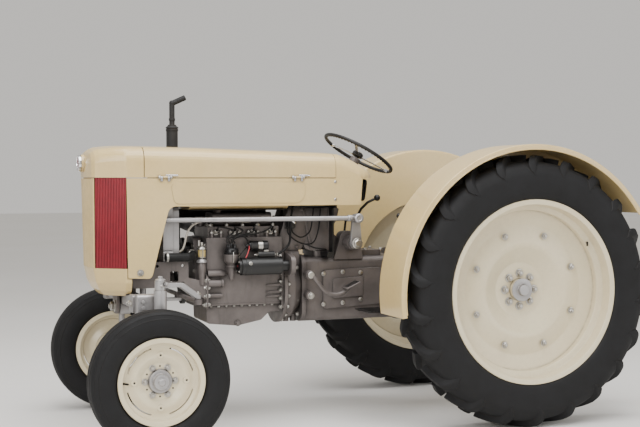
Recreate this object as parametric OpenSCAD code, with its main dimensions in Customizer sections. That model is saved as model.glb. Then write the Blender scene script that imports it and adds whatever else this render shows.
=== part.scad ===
// A 1950s high-clearance utility tractor, in millimetres.
// +X forward, +Y to the driver's left, +Z up, with the origin on the ground under the middle.

/* [Stance] */
// Distance between the front and rear axles
wheelbase = 2030; // [1950:10:2200]
// Distance between the middles of the front tyres
front_track = 1270; // [1200:10:1400]
// Distance between the middles of the rear tyres
rear_track = 1420; // [1400:10:1600]

/* [Front wheels] */
// Outer radius of a front tyre
front_tyre_r = 355; // [340:1:370]
// Width of a front tyre
front_tyre_w = 165; // [150:1:180]
// Radius of the bead seat of a front rim
front_rim_r = 203; // [195:1:210]
// Width of a front rim between its flanges
front_rim_w = 114; // [100:1:125]
// Radius of the hub of a front wheel
front_hub_r = 58; // [50:1:64]
// Radius of the ring of bolts that holds a front disc
front_bolt_ring = 76; // [72:1:84]
// Radius of the disc inside its four slots
front_disc_r = 163; // [150:1:172]

/* [Rear wheels] */
// Outer radius of a rear tyre over its lugs
rear_tyre_r = 745; // [730:1:760]
// Width of a rear tyre
rear_tyre_w = 285; // [260:1:300]
// Radius of the bead seat of a rear rim
rear_rim_r = 483; // [470:1:495]
// Width of a rear rim between its flanges
rear_rim_w = 230; // [210:1:240]
// Radius of the brake drum
drum_r = 178; // [160:1:190]

/* [Sheet metal] */
// Width over the hood and the side panels
hood_w = 530; // [500:5:560]
// Height of the seam between hood and side panels
seam_z = 1364; // [1340:1:1390]
// Height of the hood's crown at the front
crown_z = 1538; // [1520:1:1560]
// Radius of the hood's shoulders
shoulder_r = 74; // [50:1:90]
// Thickness of the panels
panel_t = 6; // [4:0.5:10]
// Gap at the seams
seam_gap = 4; // [2:0.5:6]
// How far the nose reaches in front of the front axle
nose_x = 269; // [260:1:280]
// Width across the nose's front corners
nose_w = 364; // [340:2:390]
// Corners between the front grille and the side grilles, from the front axle
grille_front = 249; // [240:1:255]
// Rear edge of the side grilles, from the front axle
grille_rear = 86; // [70:1:100]
// Bottom of the grilles
grille_z = 890; // [870:1:910]
// Distance between the ribs of the grilles
rib_pitch = 9.2; // [8:0.1:14]
// Bottom of the nose pan
pan_z = 742; // [730:1:760]
// Bottom of the long part of the side panels
panel_z = 1213; // [1190:1:1240]
// Rear end of the hinged hood cover, from the front axle
cover_rear = -1088; // [-1120:1:-1060]
// Seam between nose cap and hood cover, from the front axle
cover_front = -8; // [-30:1:10]
// Rear end of the side panels, from the front axle
panel_rear = -1250; // [-1260:1:-1230]
// Where the hood starts to fall to the driver, from the front axle
tail_x = -1203; // [-1220:1:-1190]

/* [Engine] */
// Height of the crankshaft
crank_z = 740; // [730:1:750]
// Half of the width of the engine block
block_half = 160; // [150:1:170]
// Front face of the engine block, from the front axle
block_front = -372; // [-385:1:-365]
// Rear face of the engine block, from the front axle
block_rear = -808; // [-830:1:-790]
// Top of the cylinder head
head_z = 1096; // [1080:1:1110]
// Top of the rocker cover
rocker_z = 1172; // [1150:1:1180]
// Radius of the flywheel's bell housing
bell_r = 188; // [180:1:200]
// Rear end of the bell housing, from the front axle
bell_rear = -928; // [-931:1:-915]
// Radius of the cooling fan
fan_r = 172; // [150:1:180]
// Height of the water pump's shaft
pump_z = 968; // [960:1:990]
// Radius of the muffler
muffler_r = 34; // [28:1:40]
// Radius of the exhaust pipe
stack_r = 16; // [14:1:20]
// Top of the exhaust pipe
stack_z = 1845; // [1800:5:1900]

/* [Steering] */
// Distance between the kingpins
kingpin_track = 1010; // [960:10:1060]
// Distance of the kingpins behind the front axle's wheel centres
kingpin_back = 36; // [30:1:45]
// Radius of the kingpin housings
housing_r = 33.5; // [30:0.5:38]
// Radius of the kingpins
kingpin_r = 18; // [16:0.5:20]
// Length of the kingpin arms and of the centre arm that works them
steer_arm = 197; // [180:1:205]
// Length of the drop arm and of the upper arm that it pulls
drop_len = 142; // [130:1:150]
// Radius of the steering wheel
wheel_r = 215; // [200:5:235]
// Tilt of the steering column from the vertical
column_tilt = 30; // [28:1:34]

/* [Linkage] */
// Length of the lower links between their eyes
link_len = 780; // [740:5:820]
// Distance between the lower links' rear eyes
link_spread = 720; // [660:10:760]
// Radius of the pin holes in the lower links' eyes
link_bore_r = 11.1; // [10:0.1:14.3]
// Length of the lift arms
lift_len = 300; // [270:5:320]
// Radius of the power take-off shaft
pto_r = 17.4; // [17:0.1:17.5]
// Radius of the hole in the drawbar
drawbar_bore_r = 10.5; // [9:0.5:14]

/* [Fits] */
// Gap round a shaft or pin that turns in its bore
run_gap = 0.3; // [0.2:0.05:0.5]
// Gap between pieces that lie against each other
seat_gap = 0.3; // [0.2:0.05:0.5]
// Gap between pieces that move past each other
move_gap = 6; // [5:0.5:10]

/* [Hidden] */
$fn = 48;

// Colours, as the photo shows them
cream = "#C9B991";
maroon = "#8A2C38";
grey = "#8F8378";
silver = "#A7A5A8";
black = "#232326";
wheel_paint = "#C2AE80";
rubber = "#2E2F33";

// The pivots of the lower links and of the lift arms, from the rear axle
link_pivot = [-55, 500];
lift_pivot = [-95, 1010];
link_eye_r = 28;
link_drop = 6;
lift_rest = -5;

// The axles' places: the frame's origin lies under the middle of the whole length
rear_reach = -link_pivot.x + link_len * cos(link_drop) + link_eye_r;
front_x = (wheelbase + rear_reach - front_tyre_r) / 2;
rear_x = front_x - wheelbase;
front_axle_z = front_tyre_r;
rear_axle_z = rear_tyre_r;

hood_half = hood_w / 2;
kingpin_y = kingpin_track / 2;
kingpin_x = -kingpin_back;
steer_ball_x = kingpin_x - steer_arm;
tie_z = 727;
housing_z = [612, 792];
drop_pivot = [-1217, 997];
drop_y = 240;
upper_arm_z = 1172;
link_line_z = drop_pivot.y + drop_len;
upper_arm_y = 228;
shaft_y = upper_arm_y - drop_len;
shaft_r = 17;
wheel_centre = [-1333, 1508];

// Placing
module at_front() translate([front_x, 0, 0]) children();
module at_rear() translate([rear_x, 0, 0]) children();
module both_sides() {
    children();
    mirror([0, 1, 0]) children();
}
// An outline in X and Z, thick from y0 to y1
module side_plate(y0, y1) translate([0, y1, 0]) rotate([90, 0, 0]) linear_extrude(y1 - y0) children();
// An outline in Y and Z, long from x0 to x1
module cross_plate(x0, x1) translate([x0, 0, 0]) rotate([90, 0, 90]) linear_extrude(x1 - x0) children();
module rod_x(x0, x1, y, z, r) translate([x0, y, z]) rotate([0, 90, 0]) cylinder(r = r, h = x1 - x0);
module rod_y(y0, y1, x, z, r) translate([x, y1, z]) rotate([90, 0, 0]) cylinder(r = r, h = y1 - y0);
module rod_z(z0, z1, x, y, r) translate([x, y, z0]) cylinder(r = r, h = z1 - z0);
// A round rod from point p to point q
module rod(p, q, r) {
    v = q - p;
    translate(p) rotate([0, acos(v.z / norm(v)), atan2(v.y, v.x)]) cylinder(r = r, h = norm(v));
}
// A box given by its two corners
module block(a, b) translate(a) cube(b - a);

// Corners [x, y, r] joined to an outline, each rounded by an arc of radius r
function unit(v) = v / norm(v);
function turn(a) = a > 180 ? a - 360 : a < -180 ? a + 360 : a;
function rounded(corners, steps = 6) = [
    for (i = [0 : len(corners) - 1])
        let (
            a = corners[(i + len(corners) - 1) % len(corners)],
            b = corners[i],
            c = corners[(i + 1) % len(corners)],
            p = [b.x, b.y],
            u = unit([a.x, a.y] - p),
            v = unit([c.x, c.y] - p),
            half = acos(max(-1, min(1, u * v))) / 2,
            centre = p + unit(u + v) * b.z / sin(half),
            first = p + u * b.z / tan(half) - centre,
            last = p + v * b.z / tan(half) - centre,
            start = atan2(first.y, first.x),
            sweep = turn(atan2(last.y, last.x) - start)
        )
        each (b.z == 0 ? [p] : [for (k = [0 : steps]) centre
            + b.z * [cos(start + sweep * k / steps), sin(start + sweep * k / steps)]])
];
module outline(corners) polygon(rounded(corners));
// A rounded box lying along X, and one standing along Z
module box_x(a, b, r) cross_plate(a.x, b.x)
    outline([[a.y, a.z, r], [b.y, a.z, r], [b.y, b.z, r], [a.y, b.z, r]]);
module box_z(a, b, r) translate([0, 0, a.z]) linear_extrude(b.z - a.z)
    outline([[a.x, a.y, r], [b.x, a.y, r], [b.x, b.y, r], [a.x, b.y, r]]);

// Skin of the hood: an arch across at each station [x, half width, crown height, shoulder radius]
arch_steps = 8;
function arch(half, crown, foot, r) = concat(
    [[-half, foot]],
    [for (k = [0 : arch_steps]) let (a = 180 - 90 * k / arch_steps)
        [-half + r + r * cos(a), crown - 10 - r + r * sin(a)]],
    [[0, crown]],
    [for (k = [0 : arch_steps]) let (a = 90 - 90 * k / arch_steps)
        [half - r + r * cos(a), crown - 10 - r + r * sin(a)]],
    [[half, foot]]
);
module arch_loft(stations, foot, inset = 0) {
    rings = [for (s = stations) [for (p = arch(s[1] - inset, s[2] - inset, foot, max(s[3] - inset, 4)))
        [s[0], p.x, p.y]]];
    n = len(rings[0]);
    last = len(rings) - 1;
    polyhedron(
        points = [for (ring = rings) each ring],
        faces = concat(
            [[for (k = [n - 1 : -1 : 0]) k]],
            [for (i = [0 : last - 1], k = [0 : n - 1])
                [i * n + k, i * n + (k + 1) % n, (i + 1) * n + (k + 1) % n, (i + 1) * n + k]],
            [[for (k = [0 : n - 1]) last * n + k]]
        ),
        convexity = 4
    );
}
// Front support: a cast frame from the engine to the axle pivot, with a plate on each side
engine_plate_x = block_front + 10 + seat_gap;
panel_bolt = [14, 865];
support_half = 190;
plate_rear = -262;
plate_front = -66;
plate_z = [776, 914];
plate_holes = [[-92, 892], [-232, 892], [-92, 798], [-232, 798]];
plate_bore_r = 8;
pivot_z = 668;
pivot_r = 22;
module front_support() {
    color(grey) at_front() {
        both_sides() difference() {
            union() {
                side_plate(support_half - 16, support_half) outline([
                    [engine_plate_x, 700, 0], [plate_rear, plate_z[0], 18],
                        [plate_front + 110, plate_z[0], 10],
                    [plate_front + 110, plate_z[1], 10], [plate_rear, plate_z[1], 18],
                        [plate_rear - 2, 826, 6],
                    [engine_plate_x, 800, 0]
                ]);
                rod_y(support_half - 1, hood_half - panel_t - seat_gap, panel_bolt.x, panel_bolt.y, 15);
            }
            for (h = plate_holes) rod_y(0, hood_half, h.x, h.y, plate_bore_r);
            side_plate(0, hood_half) outline([[-208, 806, 6], [-162, 806, 6], [-162, 862, 6],
                [-208, 862, 6]]);
        }
        difference() {
            union() {
                block([plate_front - 130, -support_half + 15, 862],
                    [plate_front + 96, support_half - 15, 880]);
                rod_z(830, 892, kingpin_x, shaft_y, 30);
            }
            rod_z(820, 900, kingpin_x, shaft_y, shaft_r + run_gap);
        }
        // Foot that carries the nose pan
        block([plate_front + 100, -60, 772], [150, 60, 790]);
        block([122, -60, pan_z + panel_t + seat_gap], [150, 60, 780]);
        block([plate_front + 82, -support_half + 16, plate_z[0]],
            [plate_front + 110, support_half - 16, 880]);
        // Pivot legs that hold the axle
        for (x = [-2, 84]) difference() {
            cross_plate(x, x + 16) outline([
                [-50, pivot_z - 40, 30], [50, pivot_z - 40, 30], [90, 880, 0], [-90, 880, 0]]);
            rod_x(x - 1, x + 17, 0, pivot_z, pivot_r + run_gap);
        }
    }
}

// Axle beam, with its sliding ends and the kingpin housings
beam_x = [20, 76];
beam_z = [690, 748];
knee_x = [kingpin_x + 20, 76];
module axle_beam() {
    color(silver) at_front() {
        difference() {
            union() {
                box_x([beam_x[0], -420, beam_z[0]], [beam_x[1], 420, beam_z[1]], 12);
                rod_x(beam_x[0] - 2, beam_x[1] + 2, 0, pivot_z, 46);
            }
            rod_x(beam_x[0] - 3, beam_x[1] + 3, 0, pivot_z, pivot_r + run_gap);
        }
        both_sides() {
            box_x([beam_x[0] - 10, 330, beam_z[0] - 16], [beam_x[1] + 12, 420, beam_z[1] + 14], 10);
            difference() {
                union() {
                    box_x([kingpin_x, kingpin_y - 96, beam_z[0] - 24],
                        [beam_x[1], kingpin_y - 20, beam_z[1] + 22], 16);
                    rod_z(housing_z[0], housing_z[1], kingpin_x, kingpin_y, housing_r);
                }
                rod_z(housing_z[0] - 1, housing_z[1] + 1, kingpin_x, kingpin_y, kingpin_r + run_gap);
            }
            for (z = [705, 735]) rod_y(kingpin_y - 22, kingpin_y - 10, 48, z, 9);
        }
    }
}

// Plan of the nose: straight sides draw in to the front corners, and the front is bowed.
// Everything is a little smaller at the grilles' foot, k = 0, than at the seam, k = 1
nose_lean = 13;
nose_draw = 24;
function corner_at(k) = [grille_front - (1 - k) * nose_lean / 2, nose_w / 2 - (1 - k) * nose_draw];
function tip_at(k) = nose_x - (1 - k) * nose_lean;
// A point of the front at s, from -1 to 1 across
function front_at(k, s) = let (c = corner_at(k)) [tip_at(k) - (tip_at(k) - c.x) * s * s, s * c.y];
// A point of the left side, a distance along from the panel's edge, and a depth inside
function side_dir(k) = unit(corner_at(k) - [grille_rear, hood_half]);
function side_at(k, along, depth) = let (d = side_dir(k)) [grille_rear,
    hood_half] + along * d + depth * [d.y, -d.x];
function side_len(k) = norm(corner_at(k) - [grille_rear, hood_half]);

// Nose cap: the top of the grille shell, which rounds down over the front grille
front_round = 62;
front_drop = 69;
crown_fall = 9;
function nose_crown(x) = let (t = x - nose_x + front_round) t < 0
    ? crown_z - crown_fall * pow((x - grille_rear) / (nose_x - front_round - grille_rear), 2)
    : crown_z - crown_fall - front_drop * (1 - sqrt(1 - pow(t / front_round, 2)));
cap_stations = concat(
    [[cover_front + seam_gap / 2, hood_half, crown_z, shoulder_r],
        [grille_rear - 10, hood_half, crown_z, shoulder_r],
        [grille_rear, hood_half - 1.3, crown_z, shoulder_r]],
    [for (t = [0.06, 0.33, 0.64, 0.79, 0.93]) let (p = side_at(1, t * side_len(1), 0))
        [p.x, p.y, nose_crown(p.x), shoulder_r]],
    [for (t = [0.15, 0.4, 0.65, 0.85, 0.97]) let (x = grille_front + t * (nose_x - grille_front))
        [x, nose_w / 2 * sqrt(1 - t), nose_crown(x), 0.9 * shoulder_r * sqrt(1 - t)]]
);
badge_z = 1442;
badge_r = 45;
badge_out = 12;
module nose_cap() {
    color(cream) at_front() difference() {
        union() {
            arch_loft(cap_stations, seam_z + seam_gap / 2);
            rod_x(nose_x - 40, nose_x + badge_out, 0, badge_z, badge_r + 2);
        }
        arch_loft([for (s = cap_stations) s - [panel_t, 0, 0, 0]], seam_z - 20, panel_t);
    }
}

// Nose pan: the rounded tub under the grilles
module nose_pan() {
    color(cream) at_front() difference() {
        hull() {
            pan_layer(grille_z - seam_gap / 2, 0, 0);
            pan_layer(812, 16, 2);
            pan_layer(770, 36, 16);
            pan_layer(pan_z, 66, 52);
        }
        hull() {
            pan_layer(grille_z + 20, panel_t, panel_t);
            pan_layer(812, 16 + panel_t, 2 + panel_t);
            pan_layer(776, 36 + panel_t, 16 + panel_t);
            pan_layer(pan_z + panel_t, 66 + panel_t, 52 + panel_t);
        }
        // Open at the rear, round the front support
        block([20, -hood_half - 1, pan_z - 10], [plate_front + 124, hood_half + 1, grille_z + 30]);
        block([40, -110, pan_z - 10], [112, 110, grille_z - 60]);
        // Clear of the axle beam, and let in under the side panels' corners
        block([20, -hood_half, pan_z - 10], [84, hood_half, beam_z[1] + move_gap]);
        both_sides() block([20, hood_half - panel_t - seat_gap, 831], [83, hood_half + 1, grille_z]);
    }
}
module pan_layer(z, back, side) {
    c = corner_at(0) - [back, 0.6 * side];
    half = [[40, hood_half - side, 8], [grille_rear, hood_half - side, 30], [c.x, c.y, 24]];
    translate([0, 0, z - 0.5]) linear_extrude(0.5) outline(concat(
        half, [[tip_at(0) - back, 0, 400]], [for (i = [2 : -1 : 0]) [half[i].x, -half[i].y, half[i].z]]));
}

// The grilles are ribbed plates. The four places of each rib along the plate, and its height there
rib_h = 5;
grille_t = 5;
face_in = 1;
rib_places = [0.06, 0.22, 0.62, 0.78];
rib_heights = [0, 1, 1, 0];
function ribs(length) = let (n = round(length / rib_pitch)) [for (i = [0 : n - 1], j = [0 : 3])
    [(i + rib_places[j]) / n, rib_heights[j]]];
// A plate between an outer and an inner line at its foot and at its top
module ribbed_plate(low_out, low_in, high_out, high_in, z0, z1) {
    m = len(low_out);
    n = 2 * m;
    low = concat(low_out, [for (i = [m - 1 : -1 : 0]) low_in[i]]);
    high = concat(high_out, [for (i = [m - 1 : -1 : 0]) high_in[i]]);
    polyhedron(
        points = concat([for (p = low) [p.x, p.y, z0]], [for (p = high) [p.x, p.y, z1]]),
        faces = concat(
            [for (k = [0 : n - 1]) each [[k, n + k, n + (k + 1) % n], [k, n + (k + 1) % n, (k + 1) % n]]],
            [for (k = [0 : m - 2]) [k, k + 1, n - 2 - k, n - 1 - k]],
            [for (k = [0 : m - 2]) [n + k, 2 * n - 1 - k, 2 * n - 2 - k, n + k + 1]]
        ), convexity = 10);
}

// Front grille, with coarser ribs and a plain upright edge round each corner
edge_w = 8;
coarse = 2;
function corner_edge(k, side, depth) = let (p = side_at(k, side_len(k) - edge_w, depth)) [p.x,
    side * p.y];
function front_line(k, inner) = let (depth = face_in + rib_h + (inner ? grille_t : 0),
    c = corner_at(k)) concat(
    [corner_edge(k, -1, inner ? depth - 3 : face_in)],
    [inner ? [c.x - depth, 6 - c.y] : [c.x - face_in, face_in - c.y]],
    [for (r = ribs(nose_w / coarse)) let (p = front_at(k, -0.97 + 1.94 * r[0]))
        [p.x - depth + (inner ? 0 : rib_h * r[1]), p.y]],
    [inner ? [c.x - depth, c.y - 6] : [c.x - face_in, c.y - face_in]],
    [corner_edge(k, 1, inner ? depth - 3 : face_in)]);
module front_grille() {
    color(cream) at_front() ribbed_plate(front_line(0, false), front_line(0, true), front_line(1, false),
        front_line(1, true), grille_z - seam_gap / 2 + seat_gap, seam_z - seam_gap / 2);
}

// Side grilles, from the side panels' edges to the front grille's corners
side_in = 2;
function side_line(k, inner) = let (from = seam_gap, length = side_len(k) - edge_w - 2 - from) [
    for (r = ribs(side_len(1))) side_at(k, from + length * r[0],
        side_in + (inner ? rib_h + grille_t : rib_h * (1 - r[1])))];
module side_grilles() {
    color(maroon) at_front() both_sides() mirror([0, 1, 0]) ribbed_plate(
        [for (p = side_line(0, false)) [p.x, -p.y]], [for (p = side_line(0, true)) [p.x, -p.y]],
        [for (p = side_line(1, false)) [p.x, -p.y]], [for (p = side_line(1, true)) [p.x, -p.y]],
        grille_z - seam_gap / 2 + seat_gap, seam_z + seam_gap / 2 - seat_gap);
}

// Side panels, from the grilles back to the dash, cut away over the engine
emboss_h = 3;
module side_panels() {
    color(cream) at_front() both_sides() {
        difference() {
            side_plate(hood_half - panel_t, hood_half) outline([
                [grille_rear, seam_z - seam_gap / 2, 2], [cover_rear - 1, seam_z - seam_gap / 2, 0],
                [cover_rear - 1, seam_z + 0.2, 0], [panel_rear, seam_z + 0.2, 4],
                [panel_rear + 12, panel_z, 6], [-143, panel_z, 46], [-46, 832, 26], [79, 838, 10]
            ]);
            for (z = [1245, 1342]) rod_y(0, hood_half + 1, -1085, z, 4);
            rod_y(0, hood_half + 1, panel_bolt.x, panel_bolt.y, 6);
        }
        side_plate(hood_half, hood_half + emboss_h) outline([
            [-148, seam_z - 24, 30], [-905, seam_z - 24, 30], [-905, panel_z + 14, 60],
                [-170, panel_z + 14, 30]
        ]);
        // Inner flange along the seam
        block([cover_rear + 10, hood_half - 24, seam_z - 14],
            [grille_rear - 6, hood_half - panel_t, seam_z - 10]);
    }
}

// Hood cover, hinged along the left seam
hinge_x = [-864, -119];
hinge_y = hood_half + 7;
hinge_z = seam_z + 4;
hinge_r = 3;
knuckle_r = 6;
cover_stations = [
    [cover_rear + seam_gap / 4, hood_half, crown_z - 28, shoulder_r],
    [-670, hood_half, crown_z - 16, shoulder_r],
    [-300, hood_half, crown_z - 5, shoulder_r],
    [cover_front - seam_gap / 2, hood_half, crown_z, shoulder_r]
];
module hood_cover() {
    color(cream) at_front() {
        difference() {
            arch_loft(cover_stations, seam_z + seam_gap / 2);
            arch_loft([for (i = [0 : 3]) cover_stations[i] + [
                [-9, 0, 0, 9][i], 0, 0, 0]], seam_z - 20, panel_t);
        }
        for (x = hinge_x) difference() {
            union() {
                rod_x(x - 12, x + 12, hinge_y, hinge_z, knuckle_r);
                block([x - 12, hood_half - 1, hinge_z - 1], [x + 12, hinge_y, hinge_z + knuckle_r]);
            }
            rod_x(x - 13, x + 13, hinge_y, hinge_z, hinge_r + run_gap);
        }
    }
}

// Fixed tail of the hood, round the instrument panel
tail_stations = [
    [tail_x - 132, hood_half - 88, crown_z - 146, 16],
    [tail_x - 118, hood_half - 56, crown_z - 134, 26],
    [tail_x - 92, hood_half - 26, crown_z - 118, 38],
    [tail_x - 62, hood_half - 8, crown_z - 100, 56],
    [tail_x - 30, hood_half, crown_z - 80, shoulder_r - 2],
    [tail_x, hood_half, crown_z - 63, shoulder_r],
    [tail_x + 42, hood_half, crown_z - 44, shoulder_r],
    [tail_x + 85, hood_half, crown_z - 31, shoulder_r],
    [cover_rear - seam_gap / 4, hood_half, crown_z - 28, shoulder_r]
];
module hood_tail() {
    color(cream) at_front() difference() {
        arch_loft(tail_stations, seam_z + 0.5);
        arch_loft([for (s = tail_stations) s + [s[0] < tail_x - 100 ? panel_t : 3, 0, 0, 0]],
            seam_z - 20, panel_t);
        column_path(24 + move_gap);
    }
}

// Bright trim: the hinges' pins and leaves, and the bare ring badge on the nose
ring_t = 7;
module bright_trim() {
    color(silver) at_front() {
        for (x = hinge_x) {
            rod_x(x - 26, x + 26, hinge_y, hinge_z, hinge_r);
            for (s = [-26, 13.5])
                block([x + s, hood_half + seat_gap, hinge_z - 22],
                    [x + s + 12.5, hinge_y + 2, hinge_z + 1]);
        }
        translate([nose_x + badge_out + seat_gap, 0, badge_z]) rotate([0, 90, 0]) {
            rotate_extrude() polygon(rounded([[badge_r - ring_t, 0, 0], [badge_r, 0, 2], [badge_r, 14, 3],
                [badge_r - ring_t + 2, 18, 2], [badge_r - ring_t, 12, 1]]));
            cylinder(r = badge_r - ring_t + 1, h = 5);
        }
    }
}

// Radiator: core between two tanks, with the fan's shroud behind it
radiator_x = [-176, -124];
radiator_z = [plate_z[1] + seat_gap, 1440];
tank_h = 62;
radiator_half = 196;
shroud_rear = -212;
module radiator() {
    color(silver) at_front() {
        block([radiator_x[0] + 6, -radiator_half + 8, radiator_z[0] + tank_h],
            [radiator_x[1] - 6, radiator_half - 8, radiator_z[1] - tank_h]);
        for (z = [radiator_z[0], radiator_z[1] - tank_h])
            box_x([radiator_x[0], -radiator_half, z], [radiator_x[1], radiator_half, z + tank_h], 16);
        both_sides() block([radiator_x[0], radiator_half - 8, radiator_z[0] + tank_h - 1],
            [radiator_x[1], radiator_half, radiator_z[1] - tank_h + 1]);
        rod_y(radiator_half - 4, 234 - hose_r - seat_gap, radiator_x[0] + 26, 940, 20);
        rod_z(radiator_z[1] - 2, radiator_z[1] + 22, -150, 0, 25);
        rod_z(radiator_z[1] + 22, radiator_z[1] + 34, -150, 0, 34);
        difference() {
            cross_plate(shroud_rear, radiator_x[0] + 1) outline([
                [-radiator_half + 6, radiator_z[0], 10], [radiator_half - 6, radiator_z[0], 10],
                [radiator_half - 6, 1240, 70], [-radiator_half + 6, 1240, 70]]);
            rod_x(shroud_rear - 1, radiator_x[0] - 8, 0, pump_z, fan_r + move_gap);
            cross_plate(shroud_rear + 8, radiator_x[0] - 1) outline([
                [-radiator_half + 12, radiator_z[0] - 1, 4], [radiator_half - 12, radiator_z[0] - 1, 4],
                [radiator_half - 12, 1234, 66], [-radiator_half + 12, 1234, 66]]);
        }
    }
}

// Black hoses from the radiator to the engine
hose_r = 23;
// A tube through the points, as one solid with a ring of flats at each point
function along(points, i) = let (n = len(points),
    back = i == 0 ? points[1] - points[0] : points[i] - points[i - 1],
    ahead = i == n - 1 ? back : points[i + 1] - points[i]) unit(unit(back) + unit(ahead));
function tube_ring(points, i, r, sides, side) = let (t = along(points, i),
    u = unit(cross(side, t)), w = cross(t, u))
    [for (k = [0 : sides - 1]) points[i] + r * (cos(k * 360 / sides) * u + sin(k * 360 / sides) * w)];
module tube(points, r, sides = 10, side = [0, 1, 0]) {
    last = len(points) - 1;
    polyhedron(
        points = [for (i = [0 : last]) each tube_ring(points, i, r, sides, side)],
        faces = concat([[for (k = [0 : sides - 1]) k], [for (k = [sides - 1 : -1 : 0]) last * sides + k]],
            [for (i = [0 : last - 1], k = [0 : sides - 1]) let (a = i * sides, b = a + sides,
                m = (k + 1) % sides) each [
                [a + k, b + m, a + m], [a + k, b + k, b + m]]]), convexity = 4);
}
hose_foot = [-298, 126, 948];
hose_top = [-354, -30, 1130];
module radiator_hoses() {
    color(black) at_front() {
        tube([[radiator_x[1] - 4, 234, 940], [-214, 234, 940], [-248, 229, 941], [-276, 208, 943],
            [-292, 180, 946],
            hose_foot + [0, 30, 0], hose_foot + [0, seat_gap, 0]], hose_r, 16, [0, 0, 1]);
        tube([[radiator_x[0] - seat_gap, -60, 1404], [-200, -60, 1404], [-222, -60, 1396],
            [-234, -59, 1376],
            [-238, -58, 1350], [-238, -58, 1200], [-243, -56, 1172], [-262, -50, 1148], [-292, -40, 1134],
            hose_top + [22, 0, 0], hose_top + [seat_gap, 0, 0]], hose_r - 3, 16);
    }
}
// A rough pipe in one piece with what it joins: rods with balls at their bends
module hose(points, r) {
    for (i = [0 : len(points) - 2]) rod(points[i], points[i + 1], r);
    for (i = [1 : len(points) - 2]) translate(points[i]) sphere(r = r * 1.03);
}

// Engine block with its head, front plate and the row of studs on the left
engine_front = -318;
stud_n = 8;
module engine_block() {
    color(grey) at_front() {
        difference() {
            block([block_rear, -block_half, 677], [block_front, block_half, 1037]);
            // The tappet side is set back under the manifold
            block([block_rear + 30, -block_half - 1, 900], [block_front - 30, -block_half + 24, 1000]);
        }
        block([block_rear + 14, -block_half + 18, 1037], [block_front - 14, block_half - 26, head_z]);
        for (i = [0 : stud_n - 1]) let (x = block_front - 34 - i * (block_front - block_rear - 68)
            / (stud_n - 1))
            rod_z(1037, 1060, x, block_half - 14, 9);
        // Front plate, timing cover and the foot of the water pump
        cross_plate(block_front - 1, block_front + 10) outline([
            [-support_half - 4, 655, 10], [support_half + 4, 655, 10],
                [support_half + 4, 820, 14], [block_half - 4, 850, 10],
            [block_half - 4, 1010, 10], [-block_half + 4, 1010, 10], [-block_half + 4, 850, 10],
                [-support_half - 4, 820, 14]]);
        // Thermostat housing and the water pump's inlet
        rod_z(head_z - 4, head_z + 52, block_front - 20, -30, 28);
        rod_x(block_front - 20, hose_top.x, hose_top.y, hose_top.z, 20);
        block([engine_front - 2, 82, 922], [hose_foot.x + 24, hose_foot.y, 974]);
        cross_plate(block_front + 9, engine_front) outline([
            [-110, 662, 40], [110, 662, 40], [120, 860, 30], [70, 1040, 30], [-70, 1040, 30],
                [-120, 860, 30]]);
        // Rear flange on the bell housing
        block([block_rear - 4, -block_half - 16, 640], [block_rear + 10, block_half + 16, 960]);
        // Cast ribs low on the left side and the filler's boss
        for (z = [700, 724, 762]) side_plate(block_half, block_half + 9) outline([
            [block_rear + 10, z, 0], [block_rear + 96, z + 4, 0], [block_rear + 96, z + 10, 0],
                [block_rear + 10, z + 15, 0]]);
        rod_x(-455, block_front, block_half + 14, 722, 12);
        rod_x(-448, block_front, block_half + 22, 790, 20);
        rod_x(-456, -448, block_half + 22, 790, 25);
    }
}

module rocker_cover() {
    color(grey) at_front() {
        box_x([block_rear + 34, -84, head_z + seat_gap], [block_front - 58, 70, rocker_z], 22);
        for (x = [-480, -700]) rod_z(rocker_z, rocker_z + 8, x, -7, 11);
        rod_z(rocker_z - 2, rocker_z + 14, -470, 30, 24);
    }
}

// Oil pan, deep in the middle
pan_half = 142;
module oil_pan() {
    color(grey) at_front() {
        side_plate(-pan_half, pan_half) outline([
            [block_front - 2, 677 - seat_gap, 0], [block_front - 6, 566, 18], [-552, 548, 30],
            [-689, 575, 30], [-735, 618, 20], [block_rear + 10 + seat_gap, 622, 6],
                [block_rear + 10 + seat_gap, 677 - seat_gap, 0]]);
        block([block_rear + 10 + seat_gap, -pan_half - 16, 664],
            [block_front - 2, pan_half + 16, 677 - seat_gap]);
        rod_z(540, 560, -552, 0, 16);
        rod_y(pan_half, pan_half + 6, -552, 562, 14);
    }
}

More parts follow.
